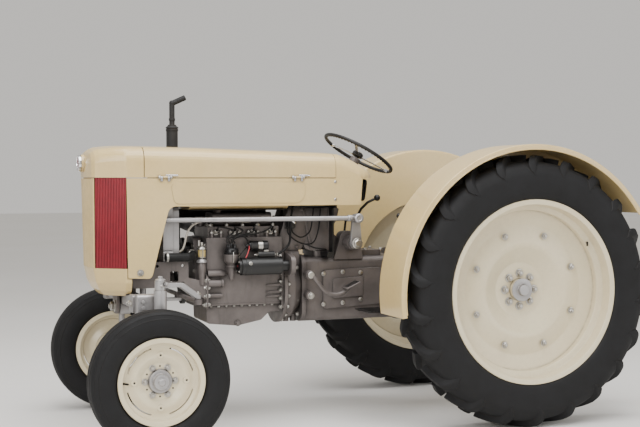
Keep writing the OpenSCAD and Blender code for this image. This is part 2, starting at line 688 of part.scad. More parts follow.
// Water pump with the fan, its pulleys and the belt
belt_w = 18;
pulley_x = -284;
crank_pulley_r = 74;
pump_pulley_r = 62;
generator_y = -228;
generator_z = 962;
generator_r = 56;
blades = 4;
module cooling_fan() {
    color(black) at_front() {
        rod_x(engine_front + seat_gap, pulley_x - 6, 0, pump_z, 40);
        rod_x(engine_front + seat_gap, -232, 0, pump_z, 16);
        rod_x(engine_front + seat_gap, pulley_x + belt_w, 0, crank_z, 22);
        rod_x(pulley_x, pulley_x + belt_w, 0, crank_z, crank_pulley_r);
        rod_x(pulley_x, pulley_x + belt_w, 0, pump_z, pump_pulley_r);
        rod_x(pulley_x, pulley_x + belt_w, generator_y, generator_z, 34);
        // The belt runs round the crankshaft's, the pump's and the generator's pulleys
        cross_plate(pulley_x + 3, pulley_x + belt_w - 3) difference() {
            polygon([[crank_pulley_r + 4, crank_z], [pump_pulley_r + 4, pump_z],
                [20, pump_z + pump_pulley_r + 6],
                [generator_y - 4, generator_z + 38], [generator_y - 38, generator_z - 10],
                    [-crank_pulley_r - 4, crank_z - 14]]);
            polygon([[crank_pulley_r - 6, crank_z], [pump_pulley_r - 6, pump_z],
                [16, pump_z + pump_pulley_r - 6],
                [generator_y - 2, generator_z + 26], [generator_y - 26, generator_z - 8],
                    [-crank_pulley_r + 8, crank_z]]);
        }
        rod_x(-246, -232, 0, pump_z, 44);
        for (i = [0 : blades - 1]) translate([-239, 0, pump_z]) rotate([i * 360 / blades, 0, 0])
            translate([0, 0, 30]) rotate([0, 0, 28]) block([-2, -36, 0], [2, 36, fan_r - 36]);
    }
}

// Starter motor with its solenoid's switch
starter_r = 48;
starter_y = 236;
module starter() {
    color(black) at_front() {
        rod_x(-773, -543, starter_y, 882, starter_r);
        rod_x(-543, -528, starter_y, 882, starter_r - 8);
        rod_x(block_rear - 8 + seat_gap, -773, starter_y, 882, 30);
        rod_x(-735, -640, starter_y - 4, 882 + starter_r + 14, 18);
    }
}

// Distributor with its cap, the coil and the leads to the plugs
plug_x = [-430, -530, -640, -745];
module ignition() {
    color(black) at_front() {
        rod_z(810, 850, -499, block_half + 46, 20);
        rod_z(850, 935, -499, block_half + 46, 27);
        rod_z(935, 975, -499, block_half + 46, 43);
        rod_z(975, 1011, -499, block_half + 46, 36);
        block([-519, block_half + seat_gap, 812], [-479, block_half + 46, 846]);
        rod_x(-706, -606, block_half + 46, 992, 27.5);
        rod_x(-607, -590, block_half + 46, 992, 12);
        block([-680, block_half + seat_gap, 976], [-640, block_half + 24, 1008]);
        for (i = [0 : 3])
            tube([[-499 + [22, 9, -9, -22][i], block_half + 46, 1011 + seat_gap],
                [-499 + [24, 10, -10, -24][i], block_half + 44, 1036],
                [(plug_x[i] - 499) / 2, block_half + 36, 1066], [plug_x[i] + 10, block_half + 22, 1084],
                [plug_x[i], block_half + 4, 1078]], 4, 8);
    }
}

// Generator on the right side, driven by the belt
module generator() {
    color(black) at_front() {
        rod_x(-500, -322, generator_y, generator_z, generator_r);
        rod_x(-323, pulley_x - seat_gap, generator_y, generator_z, 12);
        block([-480, -block_half - 12, generator_z - 76],
            [-390, -block_half - seat_gap, generator_z - 20]);
        block([-480, generator_y - 10, generator_z - 76], [-390, -block_half - 10, generator_z - 44]);
    }
}

// Manifold on the right side, and the upright muffler
stack_x = -322;
stack_y = -420;
module exhaust() {
    color(black) at_front() {
        for (x = [-430, -590, -750]) rod_y(-block_half - 60, -block_half + 18, x, 1064, 24);
        rod_x(-775, -405, -block_half - 66, 1064, 30);
        hose([[-430, -block_half - 66, 1064], [stack_x - 70, stack_y + 60, 1080],
            [stack_x - 12, stack_y + 8, 1110],
            [stack_x, stack_y, 1160], [stack_x, stack_y, 1230]], 24);
        rod_z(1215, 1660, stack_x, stack_y, muffler_r);
        rod_z(1660, 1676, stack_x, stack_y, stack_r + 9);
        rod_z(1676, stack_z - 40, stack_x, stack_y, stack_r);
        rod([stack_x, stack_y, stack_z - 44], [stack_x - 78, stack_y, stack_z - 8], stack_r);
        translate([stack_x, stack_y, stack_z - 42]) sphere(r = stack_r * 1.04);
    }
}

// Carburettor with the oil-bath air cleaner
module air_cleaner() {
    color(black) at_front() {
        rod_z(930, 1100, -880, -212, 70);
        rod_z(1098, 1126, -880, -212, 54);
        block([-896, -160, 905], [-864, -120 - seat_gap, 950]);
        rod_z(925, 1034 - seat_gap, -600, -226, 34);
        hose([[-830, -240, 1010], [-700, -262, 980], [-640, -246, 972], [-600, -226, 972]], 22);
    }
}

// Fuel tank under the hood, on two straps
tank_x = [-830, -270];
tank_z = [1192, 1462];
tank_half = 205;
module fuel_tank() {
    color(cream) at_front() {
        box_x([tank_x[0], -tank_half, tank_z[0]], [tank_x[1], tank_half, tank_z[1]], 44);
        rod_z(tank_z[1], tank_z[1] + 22, -560, 0, 34);
        rod_z(tank_z[1] + 22, tank_z[1] + 36, -560, 0, 42);
        both_sides() for (x = [tank_x[0] + 40, tank_x[1] - 60])
            block([x, tank_half, 1260], [x + 26, hood_half - panel_t - seat_gap, 1290]);
    }
}

module battery() {
    color(black) at_front() {
        block([-1040, -130, 1212], [-870, 130, 1400]);
        for (y = [-80, 80]) rod_z(1400, 1418, -900, y, 10);
        block([dash_x + seat_gap, -140, 1200], [-850, 140, 1212]);
    }
}

// Bell housing: a round flange, a curved bowl and the neck to the gearbox
module bell_housing() {
    color(grey) at_front() {
        translate([block_rear - 4 - seat_gap, 0, crank_z]) rotate([0, -90,
            0]) rotate_extrude() polygon(rounded([
            [0, 0, 0], [bell_r + 10, 0, 0], [bell_r + 10, 20, 3], [bell_r - 4, 24, 4],
            [bell_r - 8, 70, 30], [bell_r - 44, block_rear - bell_rear - 4 - 2 * seat_gap, 30],
                [0, block_rear - bell_rear - 4 - 2 * seat_gap, 0]]));
        // Top of the housing, up to the starter's seat
        box_x([bell_rear + 4, -120, 860], [block_rear - 6, 120, 958], 30);
        cross_plate(block_rear - 34, block_rear - 8) outline([
            [150, 820, 10], [starter_y + starter_r + 14, 836, 40],
                [starter_y + starter_r + 14, 930, 40], [150, 958, 10]]);
        for (x = [-860, -904]) rod_z(552, 640, x, 60, 18);
    }
}

// Gearbox, from the bell housing to the rear axle
gear_half = 128;
gear_top = 948;
lever_top = 1010;
pedal_pivot = [-949, 824];
pedal_shaft_r = 16;
// The axle's housing keeps its length, and the gearbox spans from it to the bell housing
centre_len = 470;
gear_rear = centre_len - wheelbase;
function gear_x(t) = gear_rear + t * (bell_rear - gear_rear);
lever_x = gear_x(0.41);
module gearbox() {
    color(grey) at_front() {
        box_x([gear_rear, -gear_half, 552], [bell_rear, gear_half, 916], 36);
        box_x([bell_rear - 22, -gear_half - 26, 560], [bell_rear, gear_half + 26, 930], 60);
        box_x([gear_rear, -gear_half - 22, 540], [gear_rear + 24, gear_half + 22, 950], 60);
        // Top cover with the levers' tower, and the side cover
        box_z([gear_x(0.19), -96, 916], [gear_x(0.855), 96, gear_top], 24);
        rod_z(gear_top, lever_top, lever_x, 0, 34);
        side_plate(gear_half, gear_half + 12) outline([[gear_x(0.22), 640, 20], [gear_x(0.79), 620, 20],
            [gear_x(0.79), 840, 20], [gear_x(0.22), 850, 20]]);
        side_plate(gear_half + 12, gear_half + 20) outline([[gear_x(0.41), 690, 10],
            [gear_x(0.7), 680, 10],
            [gear_x(0.7), 790, 10], [gear_x(0.41), 800, 10]]);
        rod_y(-242, 242, pedal_pivot.x, pedal_pivot.y, pedal_shaft_r);
        rod_y(gear_half, 215, -960, 706, 26);
        // Seat of the steering gear's drop arm shaft
        rod_y(gear_half - 10, drop_y - 20, drop_pivot.x, drop_pivot.y, 40);
        side_plate(59, gear_half + 6) outline([
            [drop_pivot.x + 90, 900, 0], [drop_pivot.x - 90, 900, 0],
                [drop_pivot.x - 60, 1060, 40], [drop_pivot.x + 40, 1060, 40]]);
    }
}

// Rear axle: centre housing with the lift's cover, trumpets and brake drums
axle_half = 175;
// The wheel's shaft goes this far out from the drum's inner face, in its bore
stub_r = 32;
stub_from = 24;
drum_y = [rear_track / 2 - 230, rear_track / 2 - 150];
module rear_axle() {
    color(grey) {
        at_rear() {
            box_x([-170, -axle_half, 545], [centre_len - seat_gap, axle_half, 945], 60);
            // Lift cover
            box_z([-165, -110, 930], [centre_len - 60, 110, 1000], 40);
            box_x([-150, -104, 960], [120, 104, 1075], 40);
            rod_y(-190, 190, lift_pivot.x, lift_pivot.y, 34);
            both_sides() {
                translate([0, axle_half, rear_axle_z]) rotate([-90, 0,
                    0]) rotate_extrude() polygon(rounded([
                    [0, -30, 0], [142, -30, 0], [142, 18, 8], [112, 30, 12],
                        [82, drum_y[0] - axle_half - 20, 10],
                    [98, drum_y[0] - axle_half, 0], [0, drum_y[0] - axle_half, 0]]));
                translate([0, drum_y[0], rear_axle_z]) rotate([-90, 0,
                    0]) rotate_extrude() polygon(rounded([
                    [0, 0, 0], [drum_r + 8, 0, 2], [drum_r + 8, 12, 2], [drum_r, 14, 2],
                    [drum_r, drum_y[1] - drum_y[0], 12], [stub_r + run_gap, drum_y[1] - drum_y[0], 0],
                    [stub_r + run_gap, stub_from, 0], [0, stub_from, 0]]));
                // Pad for the fender
                block([-74, drum_y[0] - 78, rear_axle_z + 40],
                    [74, drum_y[0] - 30, rear_axle_z + fender_pad_z]);
                // Lugs under the axle that hold the lower links, and the fender's seat
                difference() {
                    side_plate(link_y - 40, link_y - 26) outline([
                        [link_pivot.x - 36, link_pivot.y, 30], [link_pivot.x, link_pivot.y - 36, 30],
                        [link_pivot.x + 40, link_pivot.y, 30], [40, 660, 0], [-100, 660, 0]]);
                    rod_y(0, 400, link_pivot.x, link_pivot.y, pin_r + run_gap);
                }
            }
            // Rear face with the power take-off's boss and the top link's bracket
            rod_x(-190, -168, 0, pto_z, 62);
            for (s = [-1, 1]) translate([0, s * 26, 0]) side_plate(-6, 6) difference() {
                outline([[-168, 900, 0], [-168, 1010, 0], [-250, 985, 26], [-250, 925, 26]]);
                translate([-226, 955]) circle(r = top_link_bore_r);
            }
        }
    }
}
fender_pad_z = 100;
top_link_bore_r = 9.6;
pto_z = 640;
pin_r = 14;
link_y = 250;

// Dash: the bulkhead behind the battery and the instrument panel
dash_x = cover_rear - 2;
module dash() {
    color(black) at_front() {
        cross_plate(dash_x - 8, dash_x) difference() {
            outline([[-hood_half + panel_t + 1, 1196, 10], [hood_half - panel_t - 1, 1196, 10],
                [hood_half - panel_t - 1, seam_z - 16, 4], [hood_half - 60, crown_z - 70, 40],
                [-hood_half + 60, crown_z - 70, 40], [-hood_half + panel_t + 1, seam_z - 16, 4]]);
        }
        both_sides() {
            block([dash_x - 8, 150, 946], [dash_x, 210, 1220]);
            block([dash_x - 8, 100, 916 + seat_gap], [dash_x + 30, 210, 948]);
            side_plate(hood_half - panel_t - seat_gap - 5, hood_half - panel_t - seat_gap) outline([
                [dash_x - 8, 1222, 4], [dash_x + 30, 1222, 4], [dash_x + 30, seam_z - 16, 4],
                    [dash_x - 8, seam_z - 16, 4]]);
        }
        // Instrument panel, leaning back to the driver
        difference() {
            translate([tail_x - 106, 0, 1232]) rotate([0, -8, 0]) box_x([-6, -140, 0],
                [0, 140, seam_z - 1238], 30);
            column_path(24 + move_gap);
        }
        for (y = [-120, 120]) block([tail_x - 119, y - 6, 1300], [dash_x - 7, y + 6, 1312]);
    }
}

// Steering box on the gearbox, with the column up to the wheel
column_dir = [sin(column_tilt), 0, -cos(column_tilt)];
column_len = 520;
column_gap = 34;
module column_path(r) {
    top = [wheel_centre.x, 0, wheel_centre.y] + column_dir * 20;
    rod(top, top + column_dir * column_len, r);
}
module steering_column() {
    color(grey) at_front() {
        top = [wheel_centre.x, 0, wheel_centre.y] + column_dir * column_gap;
        foot = [wheel_centre.x, 0, wheel_centre.y] + column_dir * column_len;
        rod(top, foot, 24);
        rod(top + column_dir * 30, top, 30);
        box_x([foot.x - 60, -58, gear_top + seat_gap], [foot.x + 60, 58, foot.z + 24], 26);
    }
}

module steering_wheel() {
    color(black) at_front() translate([wheel_centre.x, 0, wheel_centre.y]) rotate([0, -column_tilt, 0]) {
        rotate_extrude($fn = 64) translate([wheel_r, 0]) circle(r = 10, $fn = 16);
        cylinder(r = 34, h = 26, center = true);
        translate([0, 0, 12]) cylinder(r = 22, h = 12);
        for (i = [0 : 2]) rotate([0, 0, 60 + 120 * i]) rod_x(30, wheel_r, 0, 0, 6);
        translate([0, 0, run_gap - column_gap]) cylinder(r = 13, h = 24);
    }
}

// Drop arm: turned by the steering gear, it points up to the drag link's ball
module drop_arm() {
    color(silver) at_front() {
        difference() {
            side_plate(drop_y - 10, drop_y + 12) outline([
                [drop_pivot.x - 36, drop_pivot.y - 32, 30], [drop_pivot.x + 36, drop_pivot.y - 32, 30],
                [drop_pivot.x + 20, link_line_z + 22, 18], [drop_pivot.x - 20, link_line_z + 22, 18]]);
            rod_y(drop_y - 11, drop_y + 13, drop_pivot.x, link_line_z, 10 + run_gap);
        }
        rod_y(drop_y - 19.5, drop_y + 26, drop_pivot.x, drop_pivot.y, 22);
        rod_y(drop_y + 26, drop_y + 40, drop_pivot.x, drop_pivot.y, 14);
    }
}

// Drag link: from the drop arm forward to the upper arm of the steering shaft
drag_r = 13.5;
module drag_link() {
    front_end = [kingpin_x, upper_arm_y, link_line_z];
    rear_end = [drop_pivot.x, drop_y + 30, link_line_z];
    color(silver) at_front() {
        rod(rear_end + [20, 0, 0], front_end - [14, 0, 0], drag_r);
        rod_y(drop_y + 14, drop_y + 48, drop_pivot.x, link_line_z, 25);
        rod_y(drop_y - 14, drop_y + 14, drop_pivot.x, link_line_z, 10);
        rod_z(link_line_z - 22, link_line_z + 8, kingpin_x, upper_arm_y, 24);
    }
}

// Upright steering shaft at the front, with its upper arm and its lower arm
module steering_shaft() {
    color(silver) at_front() {
        rod_z(tie_z - 34, upper_arm_z + 22, kingpin_x, shaft_y, shaft_r);
        hull() {
            rod_z(upper_arm_z, upper_arm_z + 18, kingpin_x, shaft_y, 27, $fn = 32);
            rod_z(upper_arm_z, upper_arm_z + 18, kingpin_x, upper_arm_y, 18, $fn = 32);
        }
        hull() {
            rod_z(tie_z - 32, tie_z - 16, kingpin_x, shaft_y, 27, $fn = 32);
            rod_z(tie_z - 32, tie_z - 16, steer_ball_x, shaft_y, 20, $fn = 32);
        }
        rod_z(tie_z - 17, tie_z + 14, steer_ball_x, shaft_y, 9);
    }
}

// Tie rod: one rod across, held by the lower arm in the middle and by the kingpin arms at its ends
module tie_rod() {
    color(grey) at_front() difference() {
        union() {
            rod_y(-kingpin_y, kingpin_y, steer_ball_x, tie_z, 12);
            for (y = [-kingpin_y, shaft_y, kingpin_y]) rod_z(tie_z - 14, tie_z + 14, steer_ball_x, y, 22);
        }
        for (y = [-kingpin_y, shaft_y, kingpin_y]) rod_z(tie_z - 15, tie_z + 15, steer_ball_x, y,
            9 + run_gap);
    }
}

// Spindle: the kingpin with its steering arm on top and the stub axle at its foot
stub_end = front_track / 2 - kingpin_y + 9;
module spindle() {
    translate([front_x, kingpin_y, 0]) {
        rod_z(front_axle_z - 40, housing_z[1] + 26, kingpin_x, 0, kingpin_r);
        rod_z(housing_z[0] - 40, housing_z[0] - seat_gap, kingpin_x, 0, kingpin_r + 10);
        rod_z(housing_z[1] + seat_gap, housing_z[1] + 50, kingpin_x, 0, 29);
        hull() {
            rod_z(housing_z[1] + 14, housing_z[1] + 38, kingpin_x, 0, 24, $fn = 24);
            rod_z(housing_z[1] + 16, housing_z[1] + 36, -142, 0, 14, $fn = 24);
        }
        hull() {
            rod_z(housing_z[1] + 16, housing_z[1] + 36, -142, 0, 14, $fn = 24);
            rod_z(tie_z + 16, tie_z + 34, steer_ball_x, 0, 16, $fn = 24);
        }
        rod_z(tie_z - 13, tie_z + 20, steer_ball_x, 0, 9);
        // Foot with the stub axle, which lies ahead of the kingpin
        box_z([kingpin_x - 30, -32, front_axle_z - 42], [26, 32, front_axle_z + 44], 20);
        rod_y(20, stub_end, 0, front_axle_z, 20);
    }
}
module spindle_left() color(silver) spindle();
module spindle_right() color(silver) mirror([0, 1, 0]) spindle();

// Front wheel: the axis is Y, the outer side is +Y
module wheel_ring(points) rotate([-90, 0, 0]) rotate_extrude($fn = 96) polygon(rounded(points));
module front_tyre() {
    half = front_tyre_w / 2;
    bead = front_rim_w / 2 - 8;
    wheel_ring([
        [front_rim_r + seat_gap, -bead, 4], [front_rim_r + 22, -bead - 2, 3],
            [front_rim_r + 25, -bead - 17, 4],
        [front_tyre_r - 78, -half, 30],
        [front_tyre_r - 26, -half + 8, 24], [front_tyre_r, -half + 34, 12], [front_tyre_r, half - 34, 12],
        [front_tyre_r - 26, half - 8, 24], [front_tyre_r - 78, half, 30],
        [front_rim_r + 25, bead + 17, 4], [front_rim_r + 22, bead + 2, 3],
            [front_rim_r + seat_gap, bead, 4]]);
}
rim_flange_h = 19;
module front_rim() {
    half = front_rim_w / 2;
    wheel_ring([
        [front_rim_r, -half + 4, 2], [front_rim_r + rim_flange_h, -half, 2],
            [front_rim_r + rim_flange_h - 2, -half - 7, 3],
        [front_rim_r - 8, -half - 3, 4], [front_rim_r - 10, -30, 6], [front_rim_r - 30, -20, 6],
        [front_rim_r - 30, 20, 6], [front_rim_r - 10, 30, 6], [front_rim_r - 8, half + 3, 4],
        [front_rim_r + rim_flange_h - 2, half + 7, 3], [front_rim_r + rim_flange_h, half, 2],
            [front_rim_r, half - 4, 2],
        [front_rim_r, half - 20, 4], [front_rim_r - 5, 27, 6],
        [front_rim_r - 24, 16, 5], [front_rim_r - 24, -16, 5], [front_rim_r - 5, -27, 6],
            [front_rim_r, 20 - half, 4]]);
    difference() {
        wheel_ring([[50, 12, 0], [front_bolt_ring + 16, 12, 10], [front_disc_r - 34, 30, 20],
            [front_disc_r, 20, 16],
            [front_rim_r - 26, 22, 0], [front_rim_r - 26, 15, 0], [front_disc_r, 13, 16],
                [front_disc_r - 34, 23, 20],
            [front_bolt_ring + 16, 5, 10], [50, 5, 0]]);
        for (i = [0 : 3]) rotate([0, 45 + 90 * i, 0]) rotate([90, 0, 0]) translate([0, 0,
            -60]) linear_extrude(90)
            polygon(concat(
                [for (a = [-30 : 6 : 30]) (front_disc_r + 4) * [cos(a), sin(a)]],
                [for (a = [26 : -6 : -26]) (front_rim_r + 4) * [cos(a), sin(a)]]));
    }
    // Hub
    difference() {
        wheel_ring([[0, -34, 0], [front_hub_r - 6, -34, 3], [front_hub_r - 6, -9, 2],
            [front_bolt_ring + 13, -9, 2],
            [front_bolt_ring + 13, 7, 2], [front_hub_r, 7, 0], [front_hub_r, 30, 6],
            [front_hub_r * 0.66, 34, 3], [front_hub_r * 0.62, 52, 6], [0, 54, 0]]);
        rod_y(-35, 10, 0, 0, 20 + run_gap);
    }
    for (i = [0 : 5]) rotate([0, 60 * i, 0]) rod_y(4, 24, front_bolt_ring, 0, 8);
}
module front_place(side) translate([front_x, side * front_track / 2, front_axle_z]) mirror([0,
    side < 0 ? 1 : 0, 0])
    children();
module front_tyre_left() color(rubber) front_place(1) front_tyre();
module front_tyre_right() color(rubber) front_place(-1) front_tyre();
module front_rim_left() color(wheel_paint) front_place(1) front_rim();
module front_rim_right() color(wheel_paint) front_place(-1) front_rim();

// Rear wheel: the axis is Y, the outer side is +Y
module rear_tyre() {
    half = rear_tyre_w / 2;
    bead = rear_rim_w / 2 - 8;
    carcass = rear_tyre_r;
    wheel_ring([
        [rear_rim_r + seat_gap, -bead, 4], [rear_rim_r + 25, -bead - 2, 3],
            [rear_rim_r + 28, -bead - 18, 4],
        [rear_rim_r + 70, -half + 4, 30], [carcass - 110, -half, 40],
        [carcass - 30, -half + 14, 30], [carcass, -half + 50, 20], [carcass, half - 50, 20],
        [carcass - 30, half - 14, 30], [carcass - 110, half, 40],
        [rear_rim_r + 70, half - 4, 30], [rear_rim_r + 28, bead + 18, 4], [rear_rim_r + 25, bead + 2, 3],
        [rear_rim_r + seat_gap, bead, 4]]);
}
rear_seat_y = -56;
module rear_rim() {
    half = rear_rim_w / 2;
    wheel_ring([
        [rear_rim_r, -half + 4, 2], [rear_rim_r + 22, -half, 2], [rear_rim_r + 20, -half - 7, 3],
        [rear_rim_r - 8, -half - 3, 4], [rear_rim_r - 10, -50, 10], [rear_rim_r - 40, -34, 10],
        [rear_rim_r - 40, 34, 10], [rear_rim_r - 10, 50, 10], [rear_rim_r - 8, half + 3, 4],
        [rear_rim_r + 20, half + 7, 3], [rear_rim_r + 22, half, 2], [rear_rim_r, half - 4, 2],
        [rear_rim_r - 4, 46, 8], [rear_rim_r - 33, 28, 8], [rear_rim_r - 33, -28, 8],
            [rear_rim_r - 4, -46, 8]]);
    wheel_ring([[62, rear_seat_y, 0], [150, rear_seat_y, 20], [250, rear_seat_y + 60, 60],
        [360, rear_seat_y + 40, 40],
        [rear_rim_r - 38, rear_seat_y + 54, 0], [rear_rim_r - 38, rear_seat_y + 44, 0],
            [360, rear_seat_y + 30, 40],
        [250, rear_seat_y + 50, 60], [150, rear_seat_y - 10, 20], [62, rear_seat_y - 10, 0]]);
    // Hub flange and cap
    wheel_ring([[0, -drum_gap, 0], [110, -drum_gap, 3], [110, rear_seat_y - 10.3, 3],
        [60, rear_seat_y - 10, 0],
        [60, rear_seat_y + 30, 6], [0, rear_seat_y + 34, 0]]);
    for (i = [0 : 7]) rotate([0, 45 * i, 0]) rod_y(rear_seat_y - 8, rear_seat_y + 20, 92, 0, 11);
    rod_y(drum_y[0] + stub_from + run_gap - rear_track / 2, 1 - drum_gap, 0, 0, stub_r);
}
drum_gap = rear_track / 2 - drum_y[1] - move_gap;
module rear_place(side) translate([rear_x, side * rear_track / 2, rear_axle_z]) mirror([0,
    side < 0 ? 1 : 0, 0])
    children();
module rear_tyre_left() color(rubber) rear_place(1) rear_tyre();
module rear_tyre_right() color(rubber) rear_place(-1) rear_tyre();
module rear_rim_left() color(wheel_paint) rear_place(1) rear_rim();
module rear_rim_right() color(wheel_paint) rear_place(-1) rear_rim();

// Fenders over the rear wheels, with their inner walls and feet on the axle
fender_gap = 52;
fender_y = [rear_track / 2 - rear_tyre_w / 2 - 26, rear_track / 2 + rear_tyre_w / 2 - 12];
fender_arc = [-8, 148];
module fenders() {
    r = rear_tyre_r + fender_gap;
    color(cream) at_rear() both_sides() translate([0, 0, rear_axle_z]) {
        rotate([90, 0, 0]) mirror([0, 0, 1]) rotate([0, 0,
            fender_arc[0]]) rotate_extrude(angle = fender_arc[1] - fender_arc[0])
            polygon(rounded([
                [470, fender_y[0], 0], [r + 5, fender_y[0], 14], [r + 5, fender_y[1], 6],
                    [r - 22, fender_y[1], 3],
                [r - 22, fender_y[1] - 5, 2], [r, fender_y[1] - 5, 4], [r, fender_y[0] + 5, 9],
                    [470, fender_y[0] + 5, 0]]));
        // Feet from the wall down to the axle's trumpet
        for (x = [-54, 54]) rod([x, drum_y[0] - 54, fender_pad_z + 8], [x, fender_y[0] - 2, 490], 13);
        block([-74, drum_y[0] - 78, fender_pad_z + seat_gap], [74, drum_y[0] - 30, fender_pad_z + 10]);
    }
}

// Clutch and brake pedals on their cross shaft
module pedals() {
    color(black) at_front() {
        both_sides() {
            difference() {
                union() {
                    rod_y(204, 240, pedal_pivot.x, pedal_pivot.y, 25);
                    side_plate(228, 240) outline([[pedal_pivot.x + 2, pedal_pivot.y + 16, 6],
                        [pedal_pivot.x + 16, pedal_pivot.y - 10, 6], [-1028, 704, 20], [-1164, 704, 20],
                        [-1198, 763.5, 0], [-1174, 752.8, 0], [-1152, 726, 10], [-1044, 726, 20],
                        [pedal_pivot.x - 22, pedal_pivot.y + 2, 6]]);
                }
                rod_y(150, 300, pedal_pivot.x, pedal_pivot.y, pedal_shaft_r + seat_gap);
            }
            // The pads lie on the arms' slanted ends
            translate([-1182, 262, 756.8]) rotate([0, 24, 0]) block([-45, -36, 0], [45, 36, 8]);
        }
    }
}

// Gear levers and the lift's lever, each with its knob
module lever(points, r, knob) {
    end = points[len(points) - 1];
    tube(points, r);
    translate(end + unit(end - points[len(points) - 2]) * (knob + seat_gap)) sphere(r = knob, $fn = 28);
}
module levers() {
    color(black) at_front() {
        translate([lever_x, 0, 0]) {
            lever([[0, 0, lever_top + seat_gap], [0, 0, 1044], [-16, 10, 1130], [-40, 24, 1184],
                [-76, 38, 1222], [-112, 48, 1240]], 8, 19);
            lever([[40, -66, gear_top + seat_gap], [40, -66, 970], [34, -71, 998], [12, -90, 1106]], 7, 15);
        }
    }
    // Lift's quadrant and lever
    color(black) at_rear() {
        side_plate(-190, -axle_half - seat_gap)
            outline([[390, 860, 10], [240, 860, 10], [280, 1040, 50], [370, 1040, 50]]);
        lever([[314, -186, 900], [318, -190, 940], [340, -206, 1116]], 7, 16);
    }
}

// Foot boards on their brackets
module steps() {
    color(black) at_front() both_sides() {
        box_z([gear_rear + 30, 190, 618], [gear_rear + 330, 400, 624], 16);
        for (x = [gear_rear + 50, gear_rear + 100]) {
            block([x, gear_half + seat_gap, 598], [x + 30, 340, 619]);
            block([x, gear_half + seat_gap, 598], [x + 30, gear_half + 10, 680]);
        }
        block([gear_rear + 60, 190, 608], [gear_rear + 310, 210, 619]);
    }
}

// Pan seat: a pressed bowl with a raised back, on a leaf spring
seat_centre = [45, 1120];
seat_size = [420, 480];
seat_steps = [14, 16];
bowl_low = 0.9;
seat_foot = seat_centre.y - bowl_low - seat_gap;
// Height of the bowl at u along and v across, both from -1 to 1
function bowl(u, v) = 74 * pow(abs(v), 2.6) * (0.6 - 0.4 * u) + 150 * pow(max(0, -u), 2.4)
    + 16 * pow(max(0, u), 2) - 14 * exp(-pow(v * 3, 2)) * max(0, -u);
// The rim is round: the square grid is drawn in to a round outline
function bowl_point(u, v, t) = let (x = u * sqrt(1 - v * v / 2.4), y = v * sqrt(1 - u * u / 2.4))
    [x * seat_size.x / 2, y * seat_size.y / 2, bowl(x, y) + t];
module seat() {
    nu = seat_steps.x;
    nv = seat_steps.y;
    row = nv + 1;
    layer = (nu + 1) * row;
    sheet = [for (t = [0, 5], i = [0 : nu], k = [0 : nv]) bowl_point(-1 + 2 * i / nu,
        -1 + 2 * k / nv, t)];
    rim = concat([for (k = [0 : nv]) k], [for (i = [1 : nu]) i * row + nv],
        [for (k = [nv - 1 : -1 : 0]) nu * row + k], [for (i = [nu - 1 : -1 : 1]) i * row]);
    m = len(rim);
    color(black) at_rear() {
        translate([seat_centre.x, 0, seat_centre.y]) polyhedron(points = sheet, faces = concat(
            [for (i = [0 : nu - 1], k = [0 : nv - 1]) each [
                [i * row + k, (i + 1) * row + k + 1, i * row + k + 1],
                [i * row + k, (i + 1) * row + k, (i + 1) * row + k + 1]]],
            [for (i = [0 : nu - 1], k = [0 : nv - 1]) each [
                [layer + i * row + k, layer + i * row + k + 1, layer + (i + 1) * row + k + 1],
                [layer + i * row + k, layer + (i + 1) * row + k + 1, layer + (i + 1) * row + k]]],
            [for (k = [0 : m - 1]) each [
                [rim[k], rim[(k + 1) % m], layer + rim[(k + 1) % m]],
                [rim[k], layer + rim[(k + 1) % m], layer + rim[k]]]]), convexity = 6);
        side_plate(-32, 32) outline([
            [330, 1000 + seat_gap, 0], [330, 1010, 0], [240, 1024, 30], [158, 1096, 60],
                [90, seat_foot, 20],
            [-6, seat_foot, 0], [-6, seat_foot - 10, 0], [84, seat_foot - 10, 20], [146, 1084, 60],
            [230, 1010, 30], [290, 1000 + seat_gap, 0]]);
    }
}

// Lift arms on their shaft, the rods that hang from them, and the lower links
rod_at = 380;
rod_pin_r = 9;
ball_gap = 2.6;
module lift_arms() {
    color(grey) at_rear() both_sides() difference() {
        union() {
            rod_y(190 + run_gap, 236, lift_pivot.x, lift_pivot.y, 46);
            translate([lift_pivot.x, 0, lift_pivot.y]) rotate([0, lift_rest, 0]) side_plate(204,
                226) outline([
                [0, 34, 10], [-lift_len - 26, 26, 24], [-lift_len - 26, -26, 24], [0, -34, 10]]);
        }
        rod_y(100, 300, lift_tip.x, lift_tip.z, 10 + run_gap);
    }
}
link_tip = [link_pivot.x - link_len * cos(link_drop),
    link_spread / 2, link_pivot.y - link_len * sin(link_drop)];
link_mid = [link_pivot.x - rod_at * cos(link_drop),
    link_y + (link_spread / 2 - link_y) * rod_at / link_len,
    link_pivot.y - rod_at * sin(link_drop)];
lift_tip = [lift_pivot.x - lift_len * cos(lift_rest), 215, lift_pivot.y + lift_len * sin(lift_rest)];
link_t = 16;
rod_eye_y = [link_mid.y - link_t / 2 - 25, link_mid.y - link_t / 2 - 9];
module lift_rods() {
    color(grey) at_rear() both_sides() {
        rod_y(190, 262, lift_tip.x, lift_tip.z, 10);
        rod_y(236, 258, lift_tip.x, lift_tip.z, 24);
        rod([lift_tip.x, 247, lift_tip.z - 6],
            [link_mid.x, (rod_eye_y[0] + rod_eye_y[1]) / 2, link_mid.z + 16], 11);
        difference() {
            rod_y(rod_eye_y[0], rod_eye_y[1], link_mid.x, link_mid.z, 23);
            rod_y(rod_eye_y[0] - 1, rod_eye_y[1] + 1, link_mid.x, link_mid.z, rod_pin_r + ball_gap);
        }
    }
}
